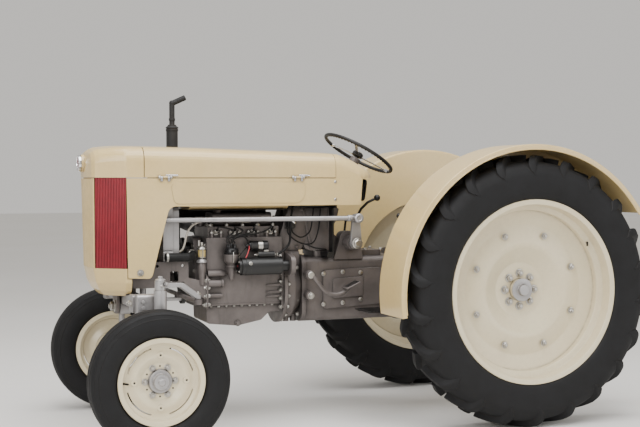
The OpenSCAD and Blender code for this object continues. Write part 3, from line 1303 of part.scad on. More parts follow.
module lower_links() {
    color(grey) at_rear() both_sides() difference() {
        union() {
            hull() {
                rod_y(link_y - link_t / 2, link_y + link_t / 2, link_pivot.x, link_pivot.y, 26, $fn = 32);
                rod_y(link_tip.y - link_t / 2, link_tip.y + link_t / 2, link_tip.x, link_tip.z, 24,
                    $fn = 32);
            }
            rod_y(link_tip.y - 22, link_tip.y + 22, link_tip.x, link_tip.z, link_eye_r);
            rod_y(link_y - 48, link_y, link_pivot.x, link_pivot.y, pin_r);
            rod_y(rod_eye_y[0] - 8, link_mid.y, link_mid.x, link_mid.z, rod_pin_r);
        }
        rod_y(200, 500, link_tip.x, link_tip.z, link_bore_r);
    }
}

// Drawbar under the rear axle, with the hole for the pin
module drawbar() {
    color(grey) at_rear() difference() {
        union() {
            box_z([-560, -32, 430], [-40, 32, 462], 20);
            for (x = [-120, -60]) block([x, -110, 420], [x + 26, 110, 430]);
            both_sides() for (x = [-120, -60]) block([x, 96, 420], [x + 26, 110, 545 - seat_gap]);
            for (x = [-120, -60]) block([x, -96, 462], [x + 26, 96, 472]);
        }
        rod_z(400, 500, -520, 0, drawbar_bore_r);
    }
}

module pto_shaft() {
    color(silver) at_rear() {
        rod_x(-262, -190.3, 0, pto_z, pto_r);
        rod_x(-204, -191, 0, pto_z, 30);
    }
}

front_support();
axle_beam();
nose_cap();
nose_pan();
front_grille();
side_grilles();
side_panels();
hood_cover();
hood_tail();
bright_trim();
radiator();
radiator_hoses();
engine_block();
rocker_cover();
oil_pan();
cooling_fan();
starter();
ignition();
generator();
exhaust();
air_cleaner();
fuel_tank();
battery();
bell_housing();
gearbox();
rear_axle();
dash();
steering_column();
steering_wheel();
drop_arm();
drag_link();
steering_shaft();
tie_rod();
spindle_left();
spindle_right();
front_tyre_left();
front_tyre_right();
front_rim_left();
front_rim_right();
rear_tyre_left();
rear_tyre_right();
rear_rim_left();
rear_rim_right();
fenders();
levers();
steps();
seat();
lift_arms();
lift_rods();
lower_links();
drawbar();
pto_shaft();
pedals();
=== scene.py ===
"""A vintage farm tractor in cream and maroon enamel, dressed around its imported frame."""
import math

import bmesh
import bpy
import numpy as np
from mathutils import Matrix, Vector


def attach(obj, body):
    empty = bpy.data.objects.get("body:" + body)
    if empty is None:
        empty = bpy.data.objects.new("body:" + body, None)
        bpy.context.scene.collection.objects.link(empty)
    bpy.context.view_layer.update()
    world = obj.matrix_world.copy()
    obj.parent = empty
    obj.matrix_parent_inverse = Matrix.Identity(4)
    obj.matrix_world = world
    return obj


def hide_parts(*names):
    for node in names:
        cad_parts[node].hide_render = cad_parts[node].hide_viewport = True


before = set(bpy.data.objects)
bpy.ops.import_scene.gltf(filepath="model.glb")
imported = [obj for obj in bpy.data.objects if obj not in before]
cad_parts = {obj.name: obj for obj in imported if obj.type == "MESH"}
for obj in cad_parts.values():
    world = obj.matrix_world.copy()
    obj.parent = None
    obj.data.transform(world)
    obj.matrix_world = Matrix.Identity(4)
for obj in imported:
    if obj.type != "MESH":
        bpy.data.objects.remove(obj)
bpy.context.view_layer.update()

# Every size is in millimetres. X runs forward from the front axle, Y to the driver's left,
# Z up from the ground
FRONT_AXLE = 1266.864
REAR = -2030.0
HOOD_SIDE = 265.0
FRONT_HUB = (0.0, 635.0, 355.0)
REAR_HUB = (REAR, 710.0, 745.0)
KINGPIN = (-36, 505)
UP, DOWN = (0, 0, 1), (0, 0, -1)
LEFT, RIGHT = (0, 1, 0), (0, -1, 0)
FORWARD, BACK = (1, 0, 0), (-1, 0, 0)

# Paints and metals


def linear(hex_colour):
    """An sRGB hex colour as linear RGBA."""
    parts = [int(hex_colour[i:i + 2], 16) / 255 for i in (1, 3, 5)]
    return [p / 12.92 if p <= 0.04045 else ((p + 0.055) / 1.055) ** 2.4 for p in parts] + [1.0]


def add(tree, kind, settings=None, links=None):
    """Adds one shader node, with its settings and the sockets that feed it."""
    node = tree.nodes.new("ShaderNode" + kind)
    for key, value in (settings or {}).items():
        if isinstance(key, str) and hasattr(node, key):
            setattr(node, key, value)
        else:
            node.inputs[key].default_value = value
    for key, socket in (links or {}).items():
        tree.links.new(socket, node.inputs[key])
    return node


def new_finish(name, **shader_values):
    """A new material: returns it with its tree, its shader and the object's own coordinates."""
    material = bpy.data.materials.new(name)
    material.use_nodes = True
    tree = material.node_tree
    tree.nodes.clear()
    shader = add(tree, "BsdfPrincipled",
                 {key.replace("_", " "): value for key, value in shader_values.items()})
    add(tree, "OutputMaterial", links={"Surface": shader.outputs["BSDF"]})
    place = add(tree, "TexCoord").outputs["Object"]
    return material, tree, shader, place


def noise_mask(tree, place, size_mm, low, high, detail=3.0, stretch=None):
    """Soft patches of about the given size, from 0 below low to 1 above high."""
    if stretch:
        place = add(tree, "Mapping", {"Scale": stretch}, {"Vector": place}).outputs["Vector"]
    grain = add(tree, "TexNoise", {"Scale": 1000 / size_mm, "Detail": detail, "Roughness": 0.55},
                {"Vector": place})
    return add(tree, "MapRange", {"From Min": low, "From Max": high},
               {"Value": grain.outputs["Fac"]}).outputs["Result"]


def blend_colour(tree, share, below, above, how="MIX"):
    """Mixes two colours or sockets by a share that is a number or a socket."""
    mix = add(tree, "Mix", {"data_type": "RGBA", "blend_type": how})
    for index, value in ((0, share), (6, below), (7, above)):
        if isinstance(value, bpy.types.NodeSocket):
            tree.links.new(value, mix.inputs[index])
        else:
            mix.inputs[index].default_value = value
    return mix.outputs[2]


def times(tree, a, b):
    """The product of two shares, each a socket or a number."""
    node = add(tree, "Math", {"operation": "MULTIPLY"})
    for index, value in ((0, a), (1, b)):
        if isinstance(value, bpy.types.NodeSocket):
            tree.links.new(value, node.inputs[index])
        else:
            node.inputs[index].default_value = value
    return node.outputs["Value"]


def crevice_dirt_and_shade(tree, reach_mm, low=0.55, high=0.95):
    """1 deep in corners and under flanges, where shade falls and oil and dust gather, and 0 in the open.
    It is read from how shaded each spot is, so where it darkens a colour it is painted shade as well as
    dirt.
    """
    hollow = add(tree, "AmbientOcclusion", {"samples": 6, "Distance": reach_mm / 1000})
    return add(tree, "MapRange", {"From Min": high, "From Max": low},
               {"Value": hollow.outputs["AO"]}).outputs["Result"]


def worn_edges(tree, radius_mm, low=0.02, high=0.12):
    """1 on outer edges, where paint rubs thin, and 0 on the faces."""
    rounded = add(tree, "Bevel", {"samples": 4, "Radius": radius_mm / 1000})
    plain = add(tree, "NewGeometry")
    same = add(tree, "VectorMath", {"operation": "DOT_PRODUCT"},
               {0: rounded.outputs["Normal"], 1: plain.outputs["Normal"]})
    apart = add(tree, "Math", {"operation": "SUBTRACT", 0: 1.0}, {1: same.outputs["Value"]})
    return add(tree, "MapRange", {"From Min": low, "From Max": high},
               {"Value": apart.outputs["Value"]}).outputs["Result"]


def bumpy(tree, shader, layers, edge_mm=0.0):
    """Stacks bumps, each (height socket, depth in mm), over edges rounded to edge_mm."""
    normal = None
    if edge_mm:
        normal = add(tree, "Bevel", {"samples": 4, "Radius": edge_mm / 1000}).outputs["Normal"]
    for height, depth in layers:
        links = {"Height": height}
        if normal is not None:
            links["Normal"] = normal
        normal = add(tree, "Bump", {"Strength": 1.0, "Distance": depth / 1000}, links).outputs["Normal"]
    tree.links.new(normal, shader.inputs["Normal"])


def rough(tree, shader, share, low, high):
    """Roughness that runs from low to high with the share."""
    span = add(tree, "MapRange", {"To Min": low, "To Max": high}, {"Value": share})
    tree.links.new(span.outputs["Result"], shader.inputs["Roughness"])


def gloss_enamel(name, colour, faded, roughness, coat, grime_and_shade="#5B4B35", edge_mm=1.5):
    """Gloss enamel on pressed sheet steel: even colour that chalks in soft patches, a faint orange peel,
    dust and painted shade darkening the corners and a clear gloss on top."""
    material, tree, shader, place = new_finish(name, Coat_Weight=coat, Coat_Roughness=0.09, IOR=1.5)
    chalk = noise_mask(tree, place, 260, 0.35, 0.75)  # patches a hand's span across
    mottle = noise_mask(tree, place, 22, 0.3, 0.8)  # freckles the size of a thumb
    body = blend_colour(tree, times(tree, chalk, 0.55), linear(colour), linear(faded))
    body = blend_colour(tree, times(tree, mottle, 0.08), body, linear(grime_and_shade))
    # Dust and painted shade: in patches, the colour goes toward the dirt colour in corners that lie deep in
    # shade
    dust_and_shade = times(tree, crevice_dirt_and_shade(tree, 14), noise_mask(tree, place, 40, 0.25, 0.6))
    body = blend_colour(tree, times(tree, dust_and_shade, 0.45), body, linear(grime_and_shade))
    tree.links.new(body, shader.inputs["Base Color"])
    rough(tree, shader, chalk, roughness, roughness + 0.14)
    # Orange peel is about 1 mm across and is drawn at 5 mm to show. The long wave is the sheet's own
    peel = add(tree, "TexNoise", {"Scale": 1000 / 5.0, "Detail": 2.0}, {"Vector": place}).outputs["Fac"]
    wave = add(tree, "TexNoise", {"Scale": 1000 / 180.0, "Detail": 1.0}, {"Vector": place}).outputs["Fac"]
    bumpy(tree, shader, [(wave, 0.9), (peel, 0.04)], edge_mm)
    return material


def painted_casting(name, colour, light, grime_and_shade, metal, roughness, grain_mm=2.6, grain_depth=0.35):
    """Metallic machinery enamel over sand-cast iron: a pebbly skin, brighter on rubbed edges,
    with oil, dust and painted shade darkening the corners and faint streaks that run down."""
    material, tree, shader, place = new_finish(name, Metallic=metal)
    tone = noise_mask(tree, place, 120, 0.3, 0.75)
    body = blend_colour(tree, times(tree, tone, 0.5), linear(colour), linear(light))
    rub = times(tree, worn_edges(tree, 3.0), noise_mask(tree, place, 9, 0.3, 0.6))
    body = blend_colour(tree, times(tree, rub, 0.6), body, linear(light))
    # Oil and painted shade: in patches, the colour goes toward the dirt colour in corners and under flanges,
    # where shade falls
    oil_and_shade = times(tree, crevice_dirt_and_shade(tree, 45), noise_mask(tree, place, 60, 0.2, 0.65))
    runs = noise_mask(tree, place, 34, 0.58, 0.78, stretch=(1.0, 1.0, 0.16))
    body = blend_colour(tree, times(tree, runs, 0.28), body, linear(grime_and_shade))
    body = blend_colour(tree, times(tree, oil_and_shade, 0.75), body, linear(grime_and_shade))
    tree.links.new(body, shader.inputs["Base Color"])
    rough(tree, shader, noise_mask(tree, place, 75, 0.3, 0.7), roughness, roughness + 0.2)
    # The moulding sand's grain is under 1 mm and is drawn coarser to show, over slow swells of the pattern
    grain = add(tree, "TexNoise", {"Scale": 1000 / grain_mm, "Detail": 3.0},
                {"Vector": place}).outputs["Fac"]
    swell = add(tree, "TexNoise", {"Scale": 1000 / 28.0, "Detail": 2.0}, {"Vector": place}).outputs["Fac"]
    bumpy(tree, shader, [(swell, 1.2), (grain, grain_depth)], 3.0)
    return material


def plated_steel(name, colour, roughness, haze=0.12, grime_and_shade="#3A342C"):
    """Bright plated or polished steel: fine drawn scratches and a breath of haze."""
    material, tree, shader, place = new_finish(name, Metallic=1.0)
    film = noise_mask(tree, place, 18, 0.35, 0.75)
    body = blend_colour(tree, times(tree, film, 0.25), linear(colour), linear("#8C8A86"))
    # Painted shade: the metal darkens in corners and crevices, where shade falls
    body = blend_colour(tree, times(tree, crevice_dirt_and_shade(tree, 6), 0.6), body, linear(grime_and_shade))
    tree.links.new(body, shader.inputs["Base Color"])
    rough(tree, shader, film, roughness, roughness + haze)
    # Polishing scratches are hair fine and are drawn at 1.6 mm to show
    scratch = add(tree, "TexNoise", {"Scale": 1000 / 1.6, "Detail": 2.0}, {"Vector": place}).outputs["Fac"]
    bumpy(tree, shader, [(scratch, 0.02)], 0.8)
    return material


def moulded_rubber(name, colour, dust_colour, roughness, dust_share, grain_mm=1.4):
    """Vulcanised rubber: near black, matt, with pale dust where it was handled or rolled."""
    material, tree, shader, place = new_finish(name, Specular_IOR_Level=0.3)
    dusty = noise_mask(tree, place, 90, 0.3, 0.75, detail=6.0)
    fine = noise_mask(tree, place, 6, 0.3, 0.75)
    share = times(tree, blend_value(tree, dusty, fine), dust_share)
    body = blend_colour(tree, share, linear(colour), linear(dust_colour))
    body = blend_colour(tree, times(tree, crevice_dirt_and_shade(tree, 12), 0.3), body, linear(dust_colour))
    tree.links.new(body, shader.inputs["Base Color"])
    rough(tree, shader, dusty, roughness, roughness + 0.18)
    # The mould's grain is a fraction of a millimetre and is drawn coarser to show
    grain = add(tree, "TexNoise", {"Scale": 1000 / grain_mm, "Detail": 2.0},
                {"Vector": place}).outputs["Fac"]
    bumpy(tree, shader, [(grain, 0.08)], 1.0)
    return material


def blend_value(tree, a, b):
    """The mean of two shares."""
    total = add(tree, "Math", {"operation": "ADD"}, {0: a, 1: b})
    return times(tree, total.outputs["Value"], 0.5)


# Enamel sprayed on pressed steel: broad soft highlights, chalked a little by the sun
cream_enamel = gloss_enamel("cream_enamel", "#C9AF78", "#D0BA8A", 0.30, 0.35)
maroon_enamel = gloss_enamel("maroon_enamel", "#8C1A28", "#96242F", 0.36, 0.25, grime_and_shade="#3B1A1A")
wheel_enamel = gloss_enamel("wheel_enamel", "#D3C6A6", "#D9CFB4", 0.34, 0.30, grime_and_shade="#5A4B36")
# Black enamel on small steel parts: deep black under a thin gloss
black_enamel = gloss_enamel("black_enamel", "#070708", "#0D0D0E", 0.36, 0.06, grime_and_shade="#1E1A16")
# Grey metallic enamel on iron castings: a dull sheen, dark in the corners with oil and painted shade
engine_enamel = painted_casting("engine_enamel", "#5D5755", "#88807D", "#1E1A17", 0.45, 0.38)
# Silver enamel on forgings and the axle: brighter and smoother, darkened in the corners by dirt and painted
# shade
silver_enamel = painted_casting("silver_enamel", "#9C9A9B", "#C4C2C1", "#453C32", 0.65, 0.30, 3.0, 0.12)
# Stove black on exhaust iron: matt, browned by heat. Also painted shade on hole discs, screw slots and
# sheets under the tank
stove_black_and_shade = painted_casting("stove_black_and_shade", "#121213", "#262525", "#33261C", 0.1, 0.62, 1.6, 0.15)
# Zinc plate on fasteners: half bright and hazy. Chrome plate on trim: a clear mirror
zinc_plate = plated_steel("zinc_plate", "#BDBAB4", 0.30)
chrome_plate = plated_steel("chrome_plate", "#E8E8EA", 0.05, 0.06)
# Vulcanised rubber of tyres and hoses: matt black with a film of dust
tyre_rubber = moulded_rubber("tyre_rubber", "#0D0E11", "#3C362E", 0.62, 0.10)
hose_rubber = moulded_rubber("hose_rubber", "#0B0B0C", "#2C2925", 0.50, 0.15)
# Pressed phenolic resin and the moulded steering rim: smooth black with a soft shine
phenolic = moulded_rubber("phenolic", "#101012", "#33302C", 0.22, 0.10, 0.9)
moulded_rim = moulded_rubber("moulded_rim", "#1B1A1A", "#4A443C", 0.34, 0.10, 2.0)
# Lacquered wire covering: a dull, even red
red_insulation = gloss_enamel("red_insulation", "#B3303A", "#C0545A", 0.42, 0.0, "#4A2020", 0.3)
# Enamelled steel pipe: pale grey, a little soiled, with painted shade in its corners
pipe_enamel = gloss_enamel("pipe_enamel", "#9C958A", "#B4AEA2", 0.38, 0.1, "#4A4236", 0.5)
# Glazed porcelain: white, with a wet gloss
glazed_porcelain = gloss_enamel("glazed_porcelain", "#E6E1D6", "#D8D0C0", 0.18, 0.6, "#8A7C66", 0.4)
# Old pressed glass with fuel in it: amber and very glossy
amber_glass = gloss_enamel("amber_glass", "#A8925A", "#B9A878", 0.08, 1.0, "#5A4A26", 0.6)

node_finish = {
    cream_enamel: "nose_cap nose_pan front_grille side_panels hood_cover hood_tail fuel_tank fenders",
    maroon_enamel: "side_grilles",
    wheel_enamel: "front_rim_left front_rim_right rear_rim_left rear_rim_right",
    engine_enamel: "front_support engine_block rocker_cover oil_pan bell_housing gearbox rear_axle"
                   " steering_column tie_rod lift_arms lift_rods lower_links drawbar pedals",
    silver_enamel: "axle_beam radiator drop_arm drag_link steering_shaft spindle_left spindle_right",
    black_enamel: "cooling_fan starter ignition generator battery dash steering_wheel levers steps seat"
                  " air_cleaner",
    stove_black_and_shade: "exhaust",
    chrome_plate: "bright_trim",
    zinc_plate: "pto_shaft",
    tyre_rubber: "front_tyre_left front_tyre_right rear_tyre_left rear_tyre_right",
    hose_rubber: "radiator_hoses",
}
for finish, names in node_finish.items():
    for name in names.split():
        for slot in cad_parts[name].material_slots:
            slot.material = finish

# Shapes: each is (points in millimetres, faces), joined into one piece and placed in metres


def joined(*shapes):
    """Several shapes as one."""
    points, faces = [], []
    for shape_points, shape_faces in shapes:
        start = sum(len(p) for p in points)
        points.append(np.asarray(shape_points, float).reshape(-1, 3))
        faces += [tuple(i + start for i in face) for face in shape_faces]
    return (np.vstack(points) if points else np.zeros((0, 3))), faces


def moved(shape, to, axis=UP, spin=0.0):
    """The shape with its own Z along axis, turned by spin degrees about it, and its origin at to."""
    turn = Matrix.Rotation(math.radians(spin), 3, "Z")
    if tuple(axis) != UP:
        turn = Vector(axis).normalized().to_track_quat("Z", "Y").to_matrix() @ turn
    return np.asarray(shape[0]) @ np.array(turn).T + np.array(to, float), shape[1]


def mirrored(shape):
    """The shape on the other side of the tractor."""
    return np.asarray(shape[0]) * (1, -1, 1), [tuple(reversed(face)) for face in shape[1]]


def turned(profile, steps=48):
    """A lathe shape about Z from [radius, height] points, closed where the radius is 0."""
    points, faces, rings = [], [], []
    for radius, height in profile:
        if radius <= 0:
            rings.append([len(points)] * steps)
            points.append((0.0, 0.0, height))
        else:
            rings.append(list(range(len(points), len(points) + steps)))
            points += [(radius * math.cos(math.tau * k / steps), radius * math.sin(math.tau * k / steps),
                        height) for k in range(steps)]
    for low, high in zip(rings, rings[1:]):
        for k in range(steps):
            corner = [low[k], low[(k + 1) % steps], high[(k + 1) % steps], high[k]]
            faces.append(tuple(dict.fromkeys(corner)))
    return np.array(points), [face for face in faces if len(face) > 2]


def ring_turned(profile, steps=96):
    """A lathe shape about Z whose profile closes on itself, such as a tyre."""
    count = len(profile)
    points = [(r * math.cos(math.tau * k / steps), r * math.sin(math.tau * k / steps), h)
              for r, h in profile for k in range(steps)]
    faces = [(i * steps + k, i * steps + (k + 1) % steps, (i + 1) % count * steps + (k + 1) % steps,
              (i + 1) % count * steps + k) for i in range(count) for k in range(steps)]
    return np.array(points), faces


def curve_through(path, gap=12.0):
    """Points about gap millimetres apart on a smooth line through the given ones."""
    path = [Vector(p) for p in path]
    ends = [path[0] * 2 - path[1]] + path + [path[-1] * 2 - path[-2]]
    line = []
    for a, b, c, d in zip(ends, ends[1:], ends[2:], ends[3:]):
        count = max(2, round((c - b).length / gap))
        for k in range(count):
            t = k / count
            line.append(0.5 * ((2 * b) + (c - a) * t + (2 * a - 5 * b + 4 * c - d) * t * t
                               + (3 * b - a - 3 * c + d) * t ** 3))
    return line + [path[-1]]


def tube(path, radius, sides=12, gap=12.0, smooth=True):
    """A round tube or wire along a path, closed at both ends. The radius may change along it."""
    line = curve_through(path, gap) if smooth else [Vector(p) for p in path]
    count = len(line)
    radii = [radius] * count if isinstance(radius, (int, float)) else np.interp(
        np.linspace(0, 1, count), np.linspace(0, 1, len(radius)), radius)
    along = [(line[min(i + 1, count - 1)] - line[max(i - 1, 0)]).normalized() for i in range(count)]
    across = along[0].orthogonal().normalized()
    turns = [math.tau * k / sides for k in range(sides)]
    points, faces = [], []
    for i, (place, way) in enumerate(zip(line, along)):
        across = (across - way * across.dot(way)).normalized()
        other = way.cross(across)
        points += [place + float(radii[i]) * (math.cos(a) * across + math.sin(a) * other) for a in turns]
    for i in range(count - 1):
        faces += [(i * sides + k, i * sides + (k + 1) % sides, (i + 1) * sides + (k + 1) % sides,
                   (i + 1) * sides + k) for k in range(sides)]
    faces += [tuple(reversed(range(sides))), tuple(range((count - 1) * sides, count * sides))]
    return np.array([tuple(p) for p in points]), faces


def from_bmesh(work):
    """The points and faces of a bmesh, which is then freed."""
    work.verts.index_update()
    shape = (np.array([tuple(v.co) for v in work.verts]),
             [tuple(v.index for v in f.verts) for f in work.faces])
    work.free()
    return shape


def slab(outline, low, high, edge=1.5, steps=2):
    """A plate from an outline in X and Y, from low to high in Z, with its edges rounded."""
    work = bmesh.new()
    face = work.faces.new([work.verts.new((x, y, low)) for x, y in outline])
    made = bmesh.ops.extrude_face_region(work, geom=[face])
    top = [v for v in made["geom"] if isinstance(v, bmesh.types.BMVert)]
    bmesh.ops.translate(work, verts=top, vec=(0, 0, high - low))
    bmesh.ops.recalc_face_normals(work, faces=work.faces)
    if edge > 0:
        sharp = [e for e in work.edges if e.calc_face_angle(0) > 0.6]
        bmesh.ops.bevel(work, geom=sharp, offset=edge, segments=steps, profile=0.5, affect="EDGES")
    return from_bmesh(work)


def chest(low, high, edge=2.0, steps=2):
    """A box between two corners with its edges rounded."""
    work = bmesh.new()
    bmesh.ops.create_cube(work, size=1.0)
    low, high = Vector(low), Vector(high)
    for v in work.verts:
        v.co = Vector([low[i] if v.co[i] < 0 else high[i] for i in range(3)])
    bmesh.ops.bevel(work, geom=list(work.edges), offset=edge, segments=steps, profile=0.5, affect="EDGES")
    return from_bmesh(work)


def hex_bolt(flats, head, washer=True, stud=0.0):
    """A hexagon head standing on Z = 0 with a chamfered top, on a washer, with a stud end if asked."""
    shapes, base = [], 0.0
    if washer:
        base = flats * 0.13
        shapes.append(turned(
            [(0, 0), (flats * 0.78, 0), (flats * 0.78, base * 0.7), (flats * 0.72, base), (0, base)], 20))
    corner = flats / math.sqrt(3)
    rings = [(corner, base), (corner, base + head * 0.82), (corner * 0.84, base + head)]
    points = [(r * math.cos(math.tau * (k + 0.5) / 6), r * math.sin(math.tau * (k + 0.5) / 6), h)
              for r, h in rings for k in range(6)]
    faces = [(i * 6 + k, i * 6 + (k + 1) % 6, (i + 1) * 6 + (k + 1) % 6, (i + 1) * 6 + k)
             for i in range(2) for k in range(6)]
    faces += [tuple(reversed(range(6))), tuple(range(12, 18))]
    shapes.append((np.array(points), faces))
    if stud:
        shapes.append(turned([(0, 0), (flats * 0.29, 0), (flats * 0.29, base + head + stud - 1.5),
                              (flats * 0.22, base + head + stud), (0, base + head + stud)], 14))
    return joined(*shapes)


def slotted_screw(radius, height):
    """A round-headed screw and a bar that stands for its slot, standing on Z = 0."""
    dome = turned([(0, 0), (radius, 0), (radius, height * 0.35), (radius * 0.8, height * 0.8),
                   (radius * 0.4, height), (0, height)], 20)
    slot_shade_bar = chest(
        (-radius * 0.86, -radius * 0.11, height * 0.55),
        (radius * 0.86, radius * 0.11, height * 1.04), 0.1, 1)
    return dome, slot_shade_bar


def piece(name, shape, finish, body="chassis", crease=35, stands_for=()):
    """Makes one piece from a shape, in its place in metres, smooth up to the crease angle and riding on its
    body. It stands in for the CAD nodes named."""
    mesh = bpy.data.meshes.new(name)
    mesh.from_pydata([tuple(p) for p in (np.asarray(shape[0]) + (FRONT_AXLE, 0, 0)) / 1000], [], shape[1])
    mesh.validate()
    mesh.polygons.foreach_set("use_smooth", [True] * len(mesh.polygons))
    mesh.set_sharp_from_angle(angle=math.radians(crease))
    mesh.materials.append(finish)
    made = bpy.data.objects.new(name, mesh)
    bpy.context.scene.collection.objects.link(made)
    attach(made, body)
    if stands_for:
        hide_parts(*stands_for)
    return made


# Wheels

FRONT_TYRE_R, FRONT_TYRE_HALF = 355.0, 82.5
REAR_TYRE_R, REAR_TYRE_HALF, LUG_HEIGHT, LUG_COUNT = 745.0, 142.5, 34.0, 22


def on_wheel(shape, axle, side):
    """A shape built with Z outwards, set on the left or right wheel."""
    placed = moved(shape, FRONT_HUB if axle == "front" else REAR_HUB, LEFT)
    return placed if side == "left" else mirrored(placed)


def both_faces(half_profile):
    """A tyre's profile from bead to bead, from the [radius, distance out] points of one half."""
    return [(r, -h) for r, h in half_profile] + [(r, h) for r, h in reversed(half_profile) if h > 0]


def front_tyre():
    """Three bold ribs, a stepped shoulder with two moulded rings and a smooth sidewall."""
    wall = curve_through(
        [(227, 53, 0), (232, 64, 0), (247, 74, 0), (266, 80.6, 0), (285, FRONT_TYRE_HALF, 0),
         (302, 81.4, 0), (313, 79.2, 0)], 5.0)
    half = [(203.4, 38), (203.4, 47), (206, 50), (224, 51)] + [(p.x, p.y) for p in wall]
    half += [(314, 80.3), (317, 80.0), (318.5, 77.6), (327, 75.0), (334.5, 72.2), (335.5, 73.2),
             (339, 72.0), (340.5, 69.4), (345, 65.5), (348.6, 60.5), (351, 54.5), (353.2, 45),
             (353.4, 41.5), (352.6, 40.4), (344.5, 39.2), (343.6, 38.2), (343.6, 34.6), (344.5, 33.8),
             (353.8, 32.6), (FRONT_TYRE_R - 0.4, 31.2), (FRONT_TYRE_R, 24), (FRONT_TYRE_R, 16),
             (FRONT_TYRE_R - 0.8, 14.4), (346.5, 13.4), (345.6, 12.4), (345.6, 9.2), (346.5, 8.4),
             (FRONT_TYRE_R - 0.8, 7.4), (FRONT_TYRE_R, 6.0), (FRONT_TYRE_R, 0)]
    return ring_turned(both_faces(half), 176)


def carcass_radius(out):
    """The rear tyre's radius under its lugs, at a distance from its middle."""
    return float(np.interp(abs(out), [0, 60, 95, 112, 124, 134, 140, REAR_TYRE_HALF],
                           [711, 709, 703, 694, 682, 664, 648, 628]))


def rear_lug(start, side):
    """One bar of the tread, from just over the middle slanting back and down over the shoulder: a row of
    cross-sections, each a ring of points."""
    stations, points, faces = 13, [], []
    for i in range(stations):
        share = i / (stations - 1)
        out = -9 + 150.5 * share ** 0.94
        along_tread = 150 * share ** 0.82
        slope = Vector((150 * 0.82 * max(share, 0.04) ** -0.18, 141.0, 0)).normalized()
        height = LUG_HEIGHT * (1 if share < 0.72 else 1 - 0.30 * ((share - 0.72) / 0.28) ** 1.4)
        half_width = 15.0 + 3.0 * share
        for offset, rise in ((-half_width - 11, -7), (-half_width - 5, 0.16), (-half_width - 1.2, 0.72),
                             (-half_width + 2.0, 1.0), (0, 1.02), (half_width - 2.0, 1.0),
                             (half_width + 1.2, 0.72), (half_width + 5, 0.16), (half_width + 11, -7)):
            run, across = along_tread - offset * slope.y, out + offset * slope.x
            across = max(-26.0, min(across, REAR_TYRE_HALF - 0.4))
            base = carcass_radius(across)
            lift = rise if rise < 0 else rise * height
            on_shoulder = across > 118
            radius = min(base + lift, REAR_TYRE_R - 0.0016 * across ** 2 * 0.35)
            if on_shoulder and rise > 0.5:
                radius = min(radius, base + lift * 0.96)
            angle = start + run / 730
            points.append((radius * math.cos(angle), radius * math.sin(angle), side * across))
    ring = 9
    for i in range(stations - 1):
        faces += [(i * ring + k, i * ring + (k + 1) % ring, (i + 1) * ring + (k + 1) % ring,
                   (i + 1) * ring + k) for k in range(ring)]
    faces += [tuple(reversed(range(ring))), tuple(range((stations - 1) * ring, stations * ring))]
    if side < 0:
        faces = [tuple(reversed(face)) for face in faces]
    return np.array(points), faces


def rear_tyre():
    """A field tyre: a round carcass with moulded rings and two rows of slanted bars."""
    wall = curve_through(
        [(507, 120, 0), (520, 130, 0), (545, 138.5, 0), (580, 142.2, 0), (612, REAR_TYRE_HALF, 0),
         (640, 141.2, 0), (660, 135.4, 0), (680, 125.5, 0), (694, 112.5, 0), (703.5, 95, 0),
         (709.5, 60, 0), (711, 30, 0)], 8.0)
    half = [(483.4, 96), (483.4, 105), (486, 108), (504, 110)] + [(p.x, p.y) for p in wall] + [(711, 0)]
    rows = [ring_turned(both_faces(half), 144)]
    pitch = math.tau / LUG_COUNT
    for i in range(LUG_COUNT):
        rows += [rear_lug(i * pitch, 1), rear_lug((i + 0.5) * pitch, -1)]
    return joined(*rows)


def valve_stem(radius, out, angle, reach):
    """A rubber valve with its cap, standing out of a rim."""
    stem = turned([(0, -10), (7, -10), (7, 0), (4.6, 6), (4.2, reach * 0.55), (0, reach * 0.55)], 16)
    cap = turned([(0, reach * 0.5), (5.2, reach * 0.5), (5.2, reach - 3), (3.6, reach), (0, reach)], 16)
    spot = (radius * math.cos(angle), radius * math.sin(angle), out)
    lean = (-math.cos(angle) * 0.75, -math.sin(angle) * 0.75, 1)
    return moved(stem, spot, lean), moved(cap, spot, lean)


def bolt_circle(radius, out, count, flats, head, stud, turn=0.0):
    """Nuts on their studs round a hub."""
    return joined(*[
        moved(hex_bolt(flats, head, True, stud), (radius * math.cos(a), radius * math.sin(a), out), UP,
              math.degrees(a))
        for a in (math.radians(turn) + math.tau * k / count for k in range(count))])


def front_hub_cap():
    """The cast hub end with its stepped, pressed dust cap."""
    return turned([(0, 7.5), (61.5, 7.5), (62.5, 9), (62.5, 14), (59.5, 17), (58.8, 27), (55.5, 31.2),
                   (49, 32.4), (44, 33.0), (43.2, 36.5), (40, 38.2), (39.4, 50), (37.2, 54.2), (33, 55.2),
                   (31, 54.6), (26, 54.8), (18, 58.2), (17, 62.5), (14, 65), (0, 66)], 56)


def rear_hub_cap():
    """The rear axle's flange with its cap and the nut under it."""
    return turned([(0, -26), (63, -26), (63.5, -22), (62, -20.5), (56, -19.6), (50, -19), (34, -18),
                   (31, -14), (30, 2), (27, 5.5), (0, 6)], 56)


